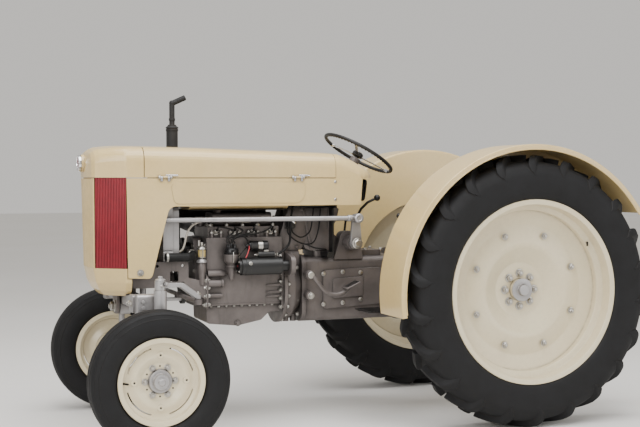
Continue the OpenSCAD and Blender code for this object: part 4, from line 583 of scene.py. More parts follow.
for side in ("left", "right"):
    body = "front_wheel_" + side
    piece(body + "_tyre", on_wheel(front_tyre(), "front", side), tyre_rubber, body, 30,
          ("front_tyre_" + side,))
    piece(body + "_nuts", on_wheel(bolt_circle(76, 12, 6, 22, 12, 3), "front", side), zinc_plate, body)
    piece(body + "_hub_cap", on_wheel(front_hub_cap(), "front", side), silver_enamel, body, 28)
    valve, valve_cap = valve_stem(186, 24, math.pi, 34)
    piece(body + "_valve", on_wheel(joined(valve, valve_cap), "front", side), hose_rubber, body)
    body = "rear_wheel_" + side
    piece(body + "_tyre", on_wheel(rear_tyre(), "rear", side), tyre_rubber, body, 40, ("rear_tyre_" + side,))
    piece(body + "_nuts", on_wheel(bolt_circle(92, -56, 8, 30, 18, 6), "rear", side), zinc_plate, body)
    piece(body + "_rim_bolts", on_wheel(bolt_circle(322, 2, 8, 24, 12, 6, 22.5), "rear", side),
          zinc_plate, body)
    piece(body + "_hub_cap", on_wheel(rear_hub_cap(), "rear", side), silver_enamel, body, 28)
    valve, valve_cap = valve_stem(455, 40, 0.6, 40)
    piece(body + "_valve", on_wheel(joined(valve, valve_cap), "rear", side), hose_rubber, body)

# Sheet metal


def bolts(places, axis, flats=19.0, head=9.0, stud=0.0):
    """Hexagon bolts on one face, each turned as far as its spanner happened to leave it."""
    return joined(*[
        moved(hex_bolt(flats, head, True, stud), place, axis, 17.0 * k)
        for k, place in enumerate(places)])


def copies(shape, places, way=UP, spin=0.0):
    """One shape repeated at each place."""
    return joined(*[moved(shape, place, way, spin) for place in places])


def both_sides(shape):
    """The shape and its mirror on the right."""
    return joined(shape, mirrored(shape))


def round_shaft(place, radius, degrees):
    """Places on a circle round a fore-and-aft shaft, such as those of a flange's bolts."""
    x, y, z = place
    return [(x, y + radius * math.cos(a), z + radius * math.sin(a)) for a in np.radians(degrees)]


cup_washer = turned([(0, 0), (17, 0), (18.5, 1.2), (17, 3.6), (13, 4.0), (11, 2.2), (0, 2.2)], 32)
piece("panel_bolts", both_sides(joined(moved(cup_washer, (14, HOOD_SIDE + 0.3, 865), LEFT),
                                       moved(hex_bolt(15, 6), (14, HOOD_SIDE + 1.6, 865), LEFT))),
      zinc_plate)
screw_head, screw_slot_shade = slotted_screw(8.5, 4.2)
screw_places = [(-1085, HOOD_SIDE + 0.2, 1245), (-1085, HOOD_SIDE + 0.2, 1342)]
piece("panel_screws", both_sides(copies(screw_head, screw_places, LEFT)), zinc_plate)
# Dark bars across the screw heads: painted shade standing in for the slots
piece("panel_screw_slot_shades", both_sides(copies(screw_slot_shade, screw_places, LEFT, 40)), stove_black_and_shade)
piece("badge_disc", moved(turned([(0, 0), (36.6, 0), (36.6, 1.0), (31, 2.6), (18, 3.8), (0, 4.4)], 64),
                          (286.5, 0, 1442), FORWARD), maroon_enamel)
hinge_bar = chest((-70, HOOD_SIDE + 0.4, 1373.2), (-3, HOOD_SIDE + 5.6, 1381.5), 2.4, 3)
hinge_head = turned([(0, 0), (8.6, 0), (9.4, 2), (9.2, 8), (7.2, 10.8), (3, 12), (0, 12)], 24)
for number, x in enumerate((-119, -864)):
    piece("hinge_bar_%d" % number, moved(hinge_bar, (x, 0, 0)), chrome_plate, "hood")
    piece("hinge_heads_%d" % number, joined(moved(hinge_head, (x + 26.3, 272, 1368), FORWARD),
                                            moved(hinge_head, (x - 26.3, 272, 1368), BACK)),
          zinc_plate)

# Engine, left side
DISTRIBUTOR = (-499, 206)  # where its shaft stands, forward and across
GOVERNOR = (-339, 182)
COIL_AXIS = (206, 992)  # across and up
STARTER_AXIS = (236, 882)

piece("head_nuts", bolts(
    [(x, y, 1096.2) for y in (110, 30, -60, -120) for x in (-410, -500, -590, -680, -770)], UP, 21, 11,
    4), zinc_plate)
piece("side_nuts", bolts([(-406 - k * 52.57, 146, 1060.2) for k in range(8)], UP, 17, 9, 5), zinc_plate)
piece("pan_bolts", both_sides(bolts([(-398 - k * 44, 150, 663.8) for k in range(9)], DOWN, 13, 7)),
      zinc_plate)
piece("drain_plug", moved(hex_bolt(21, 9), (-552, 148.2, 562), LEFT, 12), engine_enamel)
piece("front_plate_bolts", both_sides(joined(
    bolts([(-373.2, 181, z) for z in (675, 722, 768, 806)], BACK, 19, 9, 4),
    bolts([(-361.8, 181, z) for z in (675, 722, 768, 806)], FORWARD, 21, 11, 5),
    bolts([(-361.8, 146, z) for z in (880, 938, 994)], FORWARD, 17, 9))), zinc_plate)
piece("timing_cover_bolts", both_sides(bolts(
    [(-317.8, 96, 700), (-317.8, 104, 790), (-317.8, 108, 856), (-317.8, 70, 990)], FORWARD, 15, 7)),
      zinc_plate)
piece("bell_bolts",
      both_sides(bolts([(-797.8, 170, z) for z in (648, 695, 742, 790, 838, 930)], FORWARD, 19, 9, 3)),
      zinc_plate)
piece("flange_nuts", bolts(round_shaft((-832.8, 0, 740), 189, [-70, -50, -30, -10, 10, 190, 210, 230, 250]),
                           BACK, 17, 9, 4), zinc_plate)
# Plugs: a hexagon shell, a glazed insulator and the lead's rubber boot
plug_shell = joined(hex_bolt(21, 13), turned([(0, 12), (8.5, 12), (8, 17), (0, 17)], 20))
insulator = turned([(0, 16), (6.6, 16), (6.4, 22), (5.2, 30), (5.2, 36), (0, 36)], 20)
plug_boot = turned([(0, 29), (7.4, 29), (7.8, 33), (6.6, 46), (5.0, 52), (0, 52)], 16)
plug_places = [(x, 135, 1066) for x in (-430, -530, -640, -745)]
plug_way = (0, 0.82, 0.34)
piece("plug_shells", copies(plug_shell, plug_places, plug_way), zinc_plate)
piece("plug_insulators", copies(insulator, plug_places, plug_way), glazed_porcelain)
plug_leads = [moved(plug_boot, place, plug_way) for place in plug_places]
for spread, (x, y, z) in zip((21, 8, -8, -21), plug_places):
    end = Vector((x, y, z)) + Vector(plug_way).normalized() * 51
    plug_leads.append(tube(
        [(-499 + spread, 206 + abs(spread) * 0.4 - 8, 1008), (-499 + spread * 1.1, 204, 1036),
         ((x - 499) * 0.55, 200 + spread * 0.3, 1072 + spread * 0.2),
         (x + (8 if x < -499 else -8), 192, 1098), tuple(end)], 4.2, 10, 8.0))
lead_towers = [turned([(0, 0), (9.5, 0), (8.4, 20), (6.0, 26), (0, 26)], 18)] + [
    moved(turned([(0, 0), (8.4, 0), (7.4, 17), (5.4, 22), (0, 22)], 18),
          (23 * math.cos(a), 23 * math.sin(a), -3)) for a in np.radians([45, 135, 225, 315])]
distributor_top = joined(
    turned([(0, -36), (41, -36), (42.6, -33), (42.6, -27), (39, -24), (38, -10), (34, -3), (24, 1),
            (0, 1)], 48), *lead_towers)
piece("distributor_cap", moved(distributor_top, (*DISTRIBUTOR, 984)), phenolic, crease=40,
      stands_for=("ignition",))
piece("distributor_body", joined(
    moved(turned([(0, -4), (9, 0), (15, 22), (20, 50), (21.5, 66), (28, 70), (29, 77), (24, 82), (25, 88),
                  (35, 96), (39.5, 104), (40.4, 132), (43, 135), (43, 139), (39, 141), (0, 141)], 48),
          (*DISTRIBUTOR, 808)),
    chest((-521, 160.3, 842), (-477, 200, 876), 8, 3)), engine_enamel, crease=30)
cap_clip = tube([(-540, 206, 906), (-543.5, 206, 925), (-543, 206, 948), (-539, 206, 962)], 2.2, 8, 6.0)
piece("distributor_clips", joined(
    cap_clip,
    tube([(-499, 248, 906), (-499, 250.5, 925), (-499, 250, 948), (-499, 246, 962)], 2.2, 8, 6.0)),
      zinc_plate)
piece("spark_leads", joined(
    *plug_leads, tube(
        [(*DISTRIBUTOR, 1008), (-520, 214, 1040), (-556, 222, 1052), (-588, 214, 1024), (-600, 206, 996)],
        4.4, 10, 8.0)), hose_rubber)
piece("coil", joined(
    moved(turned([(0, 0), (25, 0), (27.4, 2.5), (27.4, 92), (28.3, 94), (28.3, 98), (26, 101), (0, 101)],
                 40), (-706, *COIL_AXIS), FORWARD),
    chest((-684, 160.3, 972), (-636, 182, 1012), 3)), black_enamel, crease=30)
piece("coil_clamp", joined(
    moved(turned([(27.5, 0), (29.2, 0), (29.2, 26), (27.5, 26)], 40), (-673, *COIL_AXIS), FORWARD),
    bolts([(-652, 182.2, 978), (-668, 182.2, 1006)], LEFT, 11, 5)), zinc_plate, crease=30)
piece("coil_cap", moved(joined(turned([(0, 0), (24, 0), (22, 8), (12, 12), (9, 24), (0, 24)], 32),
                               moved(hex_bolt(9, 5), (0, 17, 8)), moved(hex_bolt(9, 5), (0, -17, 8))),
                        (-605, *COIL_AXIS), FORWARD), phenolic, crease=30)
piece("coil_wire", tube(
    [(-596, 223, 992), (-590, 238, 976), (-576, 247, 944), (-556, 248, 908), (-538, 240, 888),
     (-526, 232, 884)], 2.6, 8, 6.0), red_insulation)
piece("distributor_wire", tube(
    [(-596, 189, 992), (-580, 200, 976), (-552, 232, 958), (-536, 232, 940), (-530, 222, 930)], 2.2, 8,
    6.0), hose_rubber)

# Starter: band, end cap, terminals and the battery's cable
starter_screw_spots = [(26, 26), (-26, 26), (26, -26), (-26, -26)]
piece("starter_trim", joined(
    moved(turned([(48.2, 0), (49.6, 0.6), (49.6, 27.4), (48.2, 28)], 56), (-592, *STARTER_AXIS), FORWARD),
    moved(turned([(48.1, 0), (49.0, 0.5), (49.0, 4.5), (48.1, 5)], 56), (-772, *STARTER_AXIS), FORWARD)),
      black_enamel)
piece("starter_screws", joined(
    bolts([(-527.8, STARTER_AXIS[0] + y, STARTER_AXIS[1] + z) for y, z in starter_screw_spots], FORWARD,
          8, 4),
    moved(hex_bolt(13, 6, True, 7), (-586, 283, 900), (0, 0.9, 0.35))), zinc_plate)
piece("switch_terminals", joined(moved(hex_bolt(13, 7, True, 9), (-735.5, 232, 944), BACK),
                                 moved(hex_bolt(13, 7, True, 9), (-639.8, 232, 944), FORWARD),
                                 moved(chest((-13, -9, 0), (13, 9, 4), 1.5), (-750, 232, 944), BACK),
                                 chest((-702, 224, 961), (-676, 240, 970), 2)), zinc_plate)
piece("battery_cable", tube(
    [(-752, 232, 944), (-772, 233, 952), (-806, 228, 976), (-836, 205, 1010), (-852, 170, 1070),
     (-862, 150, 1140), (-880, 142, 1220), (-890, 139, 1300), (-898, 137, 1392), (-900, 118, 1424),
     (-900, 92, 1424)], 6.2, 12), hose_rubber)
piece("earth_cable", tube(
    [(-900, -92, 1424), (-906, -124, 1418), (-910, -138, 1360), (-900, -139, 1260), (-880, -136, 1180),
     (-872, -120, 1060), (-866, -100, 985), (-864, -92, 960)], 6.2, 12), hose_rubber)

# Governor and lubrication fittings behind the radiator's side
piece("governor_housing", joined(
    moved(turned([(0, 0), (15, 0), (17, 6), (17, 60), (21.5, 74), (22, 116), (20, 122), (0, 122)], 36),
          (*GOVERNOR, 783)),
    tube([(-374, 168, 842), (-420, 168, 842), (-462, 166, 842), (-474, 164, 842)], [20, 20, 20, 15], 24)),
      engine_enamel, crease=30)
piece("governor_cap", joined(
    moved(turned([(0, 0), (28, 0), (29, 2), (29, 6), (25, 10), (21, 19), (17, 21), (0, 22)], 36),
          (*GOVERNOR, 905.2)),
    bolts([(-361, 182, 911), (-317, 182, 911)], UP, 11, 6)), silver_enamel, crease=30)
piece("sediment_bowl", moved(
    turned([(0, 0), (17, 0), (20, 3), (21, 10), (21, 40), (19, 43), (0, 43)], 36), (*GOVERNOR, 934)),
      amber_glass, crease=30)
piece("sediment_head", joined(
    moved(turned([(0, 0), (10, 0), (10, 7), (22, 9), (22, 12), (0, 12)], 32), (*GOVERNOR, 924)),
    moved(turned([(0, 0), (23, 0), (25, 2), (25, 8), (22, 14), (14, 20), (8, 22), (8, 40), (0, 40)], 36),
          (*GOVERNOR, 976)),
    moved(turned([(0, 0), (6, 0), (6, 30), (0, 30)], 18), (-322, 186, 996)),
    tube([(-339, 204, 930), (-339, 206, 955), (-339, 206, 985), (-339, 200, 996)], 2.0, 8, 6.0)),
      zinc_plate, crease=30)
piece("breather_pipe", tube(
    [(-216, 186, 968), (-228, 196, 978), (-240, 199, 1010), (-250, 198, 1052), (-268, 194, 1090),
     (-298, 189, 1116), (-345, 183, 1129), (-420, 176, 1131), (-502, 166, 1128), (-580, 148, 1124),
     (-630, 120, 1122), (-644, 74, 1122)], 5.6, 14), pipe_enamel)
hose_band = turned([(23.2, 0), (24.8, 0.8), (24.8, 11.2), (23.2, 12)], 32)
piece("hose_clamps", joined(
    moved(hose_band, (-130, 234, 940), BACK),
    moved(hex_bolt(9, 12), (-136, 234, 964), LEFT),
    moved(hose_band, (-297.5, 150, 947.8), (-0.06, -1, 0.03)),
    moved(hex_bolt(9, 12), (-298, 146, 972), FORWARD)), zinc_plate, crease=30)

# Gearbox, pedals and steering joints
LINK_HEIGHT = 1139  # the drag link's

pedal_arm = tube(
    [(-949, 226, 826), (-966, 238, 812), (-1004, 243, 762), (-1040, 243, 724), (-1082, 243, 712),
     (-1130, 243, 716), (-1164, 244, 736), (-1184, 246, 760)],
    [15, 14, 12.5, 12, 12, 12, 12, 12], 18, 9.0)
pedal_hub = moved(
    turned([(17, 0), (24, 0), (26, 2), (26, 34), (24, 36), (17, 36)], 36), (-949, 204, 824), LEFT)
pedal_clamp = joined(
    pedal_hub,
    chest((-986, 210, 796), (-958, 232, 818), 5, 3),
    moved(hex_bolt(17, 8), (-972, 232.5, 806), LEFT))
pedal_place = (-1184, 262, 759.8)
pedal_slant = Matrix.Rotation(math.radians(24), 3, "Y")


def on_pedal(shape):
    """A shape lying on the pedal's slant."""
    return moved((np.asarray(shape[0]) @ np.array(pedal_slant).T, shape[1]), pedal_place)


pedal_pad = on_pedal(chest((-46, -37, -1), (46, 37, 8), 3, 3))
tread_ribs = on_pedal(joined(*[
    chest((x, -34, 7.4), (x + 5, 34, 11), 1.4)
    for x in np.arange(-40, 36, 11.0)]))
piece("pedal_arms", both_sides(joined(pedal_arm, pedal_clamp, pedal_pad)), engine_enamel,
      stands_for=("pedals",))
piece("pedal_ribs", both_sides(tread_ribs), black_enamel)
piece("gearbox_bolts", joined(
    both_sides(bolts(
        [(x, 140.2, z) for x, z in ((-1290, 668), (-1290, 822), (-1180, 652), (-1180, 828), (-1062, 648),
                                    (-1062, 820))], LEFT, 17, 8)),
    bolts([(x, y, 948.2) for y in (80, -80) for x in (-1440, -1340, -1150, -1030)], UP, 17, 8),
    both_sides(bolts([(-905.8, 138, z) for z in (600, 680, 760, 860)], FORWARD, 17, 8))), zinc_plate)
piece("cross_shaft_ends", both_sides(joined(
    moved(turned([(0, 0), (18, 0), (19, 2), (19, 6), (16, 8), (0, 8)], 28), (-949, 242.2, 824), LEFT),
    moved(hex_bolt(24, 10), (-960, 215.2, 706), LEFT))), zinc_plate, crease=30)
piece("drop_arm_nut", moved(hex_bolt(40, 16), (-1217, 266.2, 997), LEFT, 11), zinc_plate, "drop_arm")
joint_cap = turned([(0, 0), (25, 0), (26, 2), (26, 7), (23, 10), (16, 12), (12, 9), (0, 9)], 36)
piece("drag_link_cap", moved(joint_cap, (-1217, 288.2, LINK_HEIGHT), LEFT), silver_enamel, "drag_link", 30)
link_end = turned([(13.6, 0), (17, 0), (18, 2), (18, 30), (17, 32), (13.6, 32)], 28)
piece("drag_link_ends", joined(
    moved(link_end, (-1188, 269, LINK_HEIGHT), (1, -0.02, 0)),
    moved(link_end, (-98, 231, LINK_HEIGHT), (1, -0.02, 0)),
    moved(hex_bolt(13, 7), (-1172, 286, LINK_HEIGHT), LEFT)), silver_enamel, "drag_link", 30)
for side, on_side in (("left", lambda shape: shape), ("right", mirrored)):
    piece("kingpin_cap_" + side, on_side(joined(
        moved(turned([(0, 0), (26, 0), (27.5, 2), (27, 6), (20, 10), (0, 11)], 36), (*KINGPIN, 842.2)),
        moved(hex_bolt(22, 11), (*KINGPIN, 851)), moved(hex_bolt(15, 8), (-58, 536, 826), (-0.5, 0.86, 0)))),
          silver_enamel, "spindle_" + side, 30)
    piece("arm_nut_" + side, on_side(moved(hex_bolt(22, 11, True, 5), (-233, 505, 761.3))), zinc_plate,
          "spindle_" + side)
    piece("grease_nipple_" + side, on_side(moved(
        turned([(0, -3), (6, -3), (6, 2), (3.4, 3), (3, 8), (4.4, 9), (4, 12), (0, 13)], 16),
        (-36, 534.5, 818), (0, 1, 0.2))), zinc_plate, "spindle_" + side)
piece("beam_bolts", both_sides(joined(
    bolts([(88.3, 352, 718), (88.3, 398, 718)], FORWARD, 22, 11, 6),
    bolts([(9.8, 352, 718), (9.8, 398, 718)], BACK, 22, 11))), zinc_plate)
piece("axle_pivot_nut", moved(hex_bolt(44, 20, True, 8), (100.2, 0, 668), FORWARD), zinc_plate)

# Steering wheel: a thin dark rim, polished spokes and a dished hub cap


def on_wheel_plane(shape):
    """A shape built flat about Z, tilted with the steering column."""
    lean, wheel_middle = Matrix.Rotation(math.radians(-30), 3, "Y"), (-1333, 0, 1508)
    return moved((np.asarray(shape[0]) @ np.array(lean).T, shape[1]), wheel_middle)


rim_section = [
    (215 + 10 * math.cos(a), 10 * math.sin(a))
    for a in np.linspace(0, math.tau, 18, endpoint=False)]
finger_grips = [
    moved(turned([(0, -4), (4, -3), (5, 0), (4, 3), (0, 4)], 12),
          (212 * math.cos(a), 212 * math.sin(a), -8.2))
    for a in np.linspace(0, math.tau, 60, endpoint=False)]
piece("steering_rim", on_wheel_plane(joined(ring_turned(rim_section, 120), *finger_grips)), moulded_rim,
      "steering_wheel", 50, ("steering_wheel",))


def spoke_point(angle, reach, aside, height):
    """A place on one of a spoke's wires, reach out from the column and aside of the spoke's middle."""
    return (reach * math.cos(angle) - aside * math.sin(angle),
            reach * math.sin(angle) + aside * math.cos(angle), height)


spoke_wires = []
for angle in np.radians([60, 180, 300]):
    for aside in (-7, 0, 7):
        spoke_wires.append(tube([spoke_point(angle, reach, aside, height) for reach, height in (
            (28, -14), (70, -10), (140, -4), (209, 0))], 2.9, 10, 14))
    spoke_wires.append(tube([spoke_point(angle, 190, 0, -1), spoke_point(angle, 212, 0, 0)], [6, 11], 14, 8))
piece("steering_spokes", on_wheel_plane(joined(*spoke_wires)), chrome_plate, "steering_wheel")
piece("steering_hub", on_wheel_plane(turned(
    [(0, -33), (13, -33), (13, -24), (30, -22), (33, -18), (33, -2), (30, 3), (25, 5), (0, 5)], 48)),
      moulded_rim, "steering_wheel", 30)
piece("steering_hub_cap",
      on_wheel_plane(turned([(0, 5), (22, 5), (22, 8), (19, 11), (12, 13), (0, 14)], 40)), chrome_plate,
      "steering_wheel", 30)

# Seat, pedestal controls and instruments


def bowl(u, v):
    """Height of the pan seat over its lowest point, at u along and v across, both from -1 to 1."""
    back, front = max(0.0, -u), max(0.0, u)
    return (74 * abs(v) ** 2.6 * (0.6 - 0.4 * u) + 150 * back ** 2.4 + 16 * front ** 2
            - 14 * math.exp(-(3 * v) ** 2) * back)


def seat_point(u, v, lift):
    """A place on the pan: the square sheet is drawn in to a round outline."""
    x, y = u * math.sqrt(1 - v * v / 2.4), v * math.sqrt(1 - u * u / 2.4)
    return (REAR + 45 + 210 * x, 240 * y, 1120 + bowl(x, y) + lift)


def seat_pan():
    """The pressed pan: a smooth bowl of sheet steel with three stiffening ridges and a rolled edge."""
    along, across, points, faces = 36, 44, [], []
    for lift in (0.1, 4.9):
        for i in range(along + 1):
            for k in range(across + 1):
                points.append(seat_point(-1 + 2 * i / along, -1 + 2 * k / across, lift))
    row, layer = across + 1, (along + 1) * (across + 1)
    for i in range(along):
        for k in range(across):
            a = i * row + k
            faces += [(a, a + 1, a + row + 1, a + row),
                      (layer + a, layer + a + row, layer + a + row + 1, layer + a + 1)]
    outer_points = list(range(across + 1)) + [i * row + across for i in range(1, along + 1)]
    outer_points += [along * row + k
                     for k in range(across - 1, -1, -1)] + [i * row for i in range(along - 1, 0, -1)]
    faces += [(a, layer + a, layer + b, b)
              for a, b in zip(outer_points, outer_points[1:] + outer_points[:1])]
    bead_path = [((REAR + 45) * 0.02 + points[a][0] * 0.98, points[a][1] * 0.98, points[a][2] + 1.0)
                 for a in outer_points]
    bead = tube(bead_path + bead_path[:1], 4.4, 10, smooth=False)
    ridges = []
    for v in (-0.34, 0.0, 0.34):
        path = [seat_point(u, v, 4.4) for u in np.linspace(-0.55, 0.55, 14)]
        ridges.append(tube(path, [1.0, 4.2, 4.2, 4.2, 1.0], 10, smooth=False))
    return joined((np.array(points), faces), bead, *ridges)


spring_outline = [(330, 1000.5), (330, 1010), (262, 1019), (246, 1023), (228, 1034), (176, 1081),
                  (158, 1095), (138, 1105), (112, 1114), (92, 1118.4), (-6, 1118.6), (-6, 1109),
                  (84, 1109), (104, 1103), (128, 1093), (152, 1078), (214, 1023), (232, 1010),
                  (250, 1005), (290, 1000.5)]


def upright(shape):
    """A plate built flat, stood up: its Y becomes the height and its thickness runs to the right."""
    return np.asarray(shape[0]) @ np.array([[1, 0, 0], [0, 0, 1], [0, -1, 0]]), shape[1]


def at_rear(shape):
    """A shape measured from the rear axle."""
    return moved(shape, (REAR, 0, 0))


piece("seat_pan", seat_pan(), black_enamel, crease=50, stands_for=("seat",))
piece("seat_spring", at_rear(upright(slab(spring_outline, -32, 32, 1.5))), black_enamel)
piece("seat_bolts", at_rear(joined(
    bolts([(x, y, 1010.2) for x in (284, 312) for y in (-16, 16)], UP, 17, 8, 3),
    bolts([(x, 0, 1124.7) for x in (14, 62)], UP, 19, 6))), zinc_plate)

# Levers: rubber boots where they leave the housings
boot_profile = [(0, 0), (31, 0), (32, 4), (28, 8), (29.5, 13), (23, 18), (24, 23), (17, 29), (17.5, 33),
                (11, 40), (8.6, 42), (0, 42)]
gearbox_rear, gearbox_front = -1560, -928
lever_x = gearbox_rear + 0.41 * (gearbox_front - gearbox_rear)
piece("lever_boot", moved(turned(boot_profile, 36), (lever_x, 0, 1010.4)), hose_rubber, crease=50)
piece("small_lever_boot",
      moved(turned([(r * 0.6, h * 0.6) for r, h in boot_profile], 32), (lever_x + 40, -66, 948.4)),
      hose_rubber, crease=50)

# Instruments: two dials with plain rings of marks, a key switch and a choke knob


def on_panel(shape, y, height):
    """A shape built with Z outwards, set on the panel that leans over the driver's knees."""
    lean, foot_x, foot_height, face_out = math.radians(-8), -1309, 1232, 6.2
    x = -face_out * math.cos(lean) + height * math.sin(lean)
    way_out = (-math.cos(lean), 0, math.sin(lean))
    return moved(shape, (foot_x + x, y, foot_height + height * math.cos(lean) - 0.8), way_out)


dial_marks = [moved(chest((19, -0.8, 0), (26, 0.8, 0.5), 0.15, 1), (0, 0, 3.1), UP, angle)
              for angle in range(-30, 211, 30)]
needle_hub = turned([(0, 3), (3.4, 3), (3.0, 5.4), (0, 5.4)], 20)
dial_needle = moved(chest((-5, -0.8, 0), (20, 0.8, 0.8), 0.2, 1), (0, 0, 3.9), UP, 62)
for number, y in enumerate((-84, 84)):
    piece("dial_ring_%d" % number, on_panel(
        ring_turned([(29, 3), (29, 0), (33, 0), (34.5, 2), (34, 5), (31, 7), (29.4, 6)], 56), y, 70),
          chrome_plate, crease=50)
    piece("dial_face_%d" % number, on_panel(turned([(0, 0), (29.2, 0), (29.2, 3), (0, 3)], 48), y, 70),
          phenolic)
    piece("dial_marks_%d" % number, on_panel(joined(dial_needle, *dial_marks, needle_hub), y, 70),
          glazed_porcelain)
piece("key_switch", joined(
    on_panel(turned([(0, 0), (13, 0), (14, 2), (12, 6), (8, 7), (0, 7)], 32), -48, 30),
    on_panel(chest((-8, -1.2, 7), (8, 1.2, 22), 1.0), -48, 30)), zinc_plate)
piece("choke_knob", on_panel(
    turned([(0, 0), (5, 0), (5, 14), (12, 16), (14, 20), (12, 26), (6, 29), (0, 29)], 32), 48, 30),
      phenolic, crease=50)

# Foot boards with their treads
piece("foot_treads", both_sides(joined(*[
    chest((x, 204, 623.6), (x + 7, 388, 627), 1.2)
    for x in np.arange(-1512, -1246, 21.0)])), black_enamel)
piece("step_bolts", both_sides(bolts([(x, 138.2, 660) for x in (-1495, -1445)], LEFT, 17, 8, 3)), zinc_plate)

# Under the hood: dark sheets under the tank and along its far side, painted shade standing in for the dark
# there, the tank's cap and the battery's top
piece("tank_shade_sheets", joined(
    chest((-828, -196, 1187.6), (-272, 196, 1190.4), 1.0, 1),
    chest((-828, -199, 1112), (-272, -196, 1190.4), 1.0, 1),
    *[chest((x, y - 12, 1189), (x + 24, y + 12, 1192.4), 0.8, 1) for x in (-790, -360)
      for y in (-150, 150)]), stove_black_and_shade)
piece("tank_cap", joined(
    moved(turned([(0, 0), (42, 0), (43, 2), (43, 12), (40, 15), (20, 16), (0, 17)], 48),
          (-560, 0, 1484.2)),
    chest((-598, -5, 1498), (-522, 5, 1508), 3)), chrome_plate, crease=30)
piece("battery_caps", joined(*[
    moved(turned([(0, 0), (13, 0), (14, 2), (14, 9), (11, 11), (4, 11), (0, 9)], 28), (x, y, 1400.2))
    for x in (-985, -945) for y in (-84, -28, 28, 84)]), phenolic, crease=30)
piece("battery_clamps", joined(
    *[moved(turned([(0, 0), (15, 0), (16, 2), (16, 14), (13, 17), (0, 17)], 28), (-900, y, 1410))
      for y in (-80, 80)],
    chest((-1040, -8, 1400.4), (-872, 8, 1406), 2)), zinc_plate, crease=30)

# Exhaust, air cleaner, generator and fan
STACK = (-322, -420)  # where it stands, forward and across
AIR_CLEANER = (-880, -212)
GENERATOR_AXIS = (-228, 962)  # across and up


def band(place, axis, radius, width):
    """A clamp band round a pipe."""
    edge = [(radius, 0), (radius + 2.6, 0.6), (radius + 2.6, width - 0.6), (radius, width)]
    return moved(ring_turned(edge, 48), place, axis)


piece("muffler_bands", joined(
    *[band((*STACK, z), UP, 34.1, 10) for z in (1240, 1640)],
    band((*STACK, 1700), UP, 16.1, 14),
    moved(turned([(0, 0), (38, 0), (38.6, 2), (37, 5), (26, 14), (0, 15)], 44), (*STACK, 1656))),
      stove_black_and_shade, crease=50)
flange_outline = [
    (44 * math.cos(a), 1064 + 25 * math.sin(a))
    for a in np.linspace(0, math.tau, 28, endpoint=False)]
manifold_flange = upright(slab(flange_outline, 142.3, 151, 1.2))
piece("manifold_flanges", copies(manifold_flange, [(x, 0, 0) for x in (-430, -590, -750)]), stove_black_and_shade)
piece("manifold_nuts", bolts([(x + dx, -151.2, 1064) for x in (-430, -590, -750) for dx in (-34, 34)],
                             RIGHT, 15, 9, 5), zinc_plate)
piece("cleaner_bands", joined(
    band((*AIR_CLEANER, 968), UP, 70.1, 7),
    band((*AIR_CLEANER, 1078), UP, 70.1, 5),
    moved(turned([(0, 0), (10, 0), (12, 4), (9, 14), (4, 17), (0, 17)], 24), (*AIR_CLEANER, 1126.2)),
    moved(ring_turned([(54, 0), (58, 1), (58, 5), (54, 6)], 48), (*AIR_CLEANER, 1104))), black_enamel,
      crease=50)
piece("cleaner_clips", joined(*[
    tube([(AIR_CLEANER[0] + reach * math.cos(a), AIR_CLEANER[1] + reach * math.sin(a), z)
          for reach, z in ((71, 962), (75, 972), (75, 990), (70.6, 1000))], 2.2, 8, 5.0)
    for a in np.radians([200, 320, 80])]), zinc_plate)
piece("carburettor_fittings", joined(
    moved(turned([(0, 0), (24, 0), (26, 2), (26, 20), (22, 26), (0, 26)], 32), (-600, -248, 954), RIGHT),
    bolts([(-618, -253, 1000), (-582, -253, 1000)], RIGHT, 12, 6),
    tube([(-600, -262, 1016), (-560, -276, 1022), (-520, -262, 1010)], 2.4, 8, 8.0)), zinc_plate, crease=30)
piece("generator_trim", joined(
    band((-488, *GENERATOR_AXIS), FORWARD, 56.1, 26),
    band((-336, *GENERATOR_AXIS), FORWARD, 56.1, 5),
    moved(turned([(0, 0), (20, 0), (20, 8), (14, 14), (0, 14)], 28), (-500.2, *GENERATOR_AXIS), BACK)),
      black_enamel, crease=50)
piece("generator_bolts", bolts(round_shaft((-500.3, *GENERATOR_AXIS), 40, [45, 225]),
                               BACK, 12, 7), zinc_plate)
piece("fan_bolts", bolts(round_shaft((-231.8, 0, 968), 26, [0, 90, 180, 270]),
                         FORWARD, 12, 6), zinc_plate)

# Rear linkage and power take-off
PTO_HEIGHT = 640
LOWER_LINK_DROP = math.radians(6)  # how far the links hang at rest


def splined(radius, root, length, count=6):
    """A shaft with straight splines, standing on Z = 0."""
    outline = []
    for k in range(count):
        for r, a in ((root, -0.26), (radius, -0.24), (radius, 0.0), (radius, 0.24), (root, 0.26),
                     (root, 0.5)):
            angle = math.tau * (k + a) / count
            outline.append((r * math.cos(angle), r * math.sin(angle)))
    return slab(outline, 0, length, 0.8, 1)


piece("pto_splines", at_rear(joined(
    moved(splined(17.3, 14.2, 58), (-203.5, 0, PTO_HEIGHT), BACK),
    moved(turned([(0, 0), (29.8, 0), (29.8, 12), (27, 13.4), (0, 13.4)], 40), (-190.6, 0, PTO_HEIGHT),
          BACK))), zinc_plate, "pto_shaft", 30, ("pto_shaft",))
piece("pto_bolts", at_rear(bolts(round_shaft((-190.3, 0, PTO_HEIGHT), 47, [45, 135, 225, 315]),
                                 BACK, 17, 8)), zinc_plate)
link_eye = (-55 - 780 * math.cos(LOWER_LINK_DROP), 360, 500 - 780 * math.sin(LOWER_LINK_DROP))
ball_section = [(11.3, -23), (17, -23), (20.5, -21.6), (21, -22.1), (21, 22.1), (20.5, 21.6), (17, 23),
                (11.3, 23)]
piece("link_balls", at_rear(both_sides(moved(ring_turned(ball_section, 40), link_eye, LEFT))),
      chrome_plate, "lower_links", 40)
link_middle = Vector((-55 - 380 * math.cos(LOWER_LINK_DROP), 0, 500 - 380 * math.sin(LOWER_LINK_DROP)))
rod_top, rod_foot = Vector((-393.9, 247, 977.9)), Vector((link_middle.x, 278.6, link_middle.z + 16))
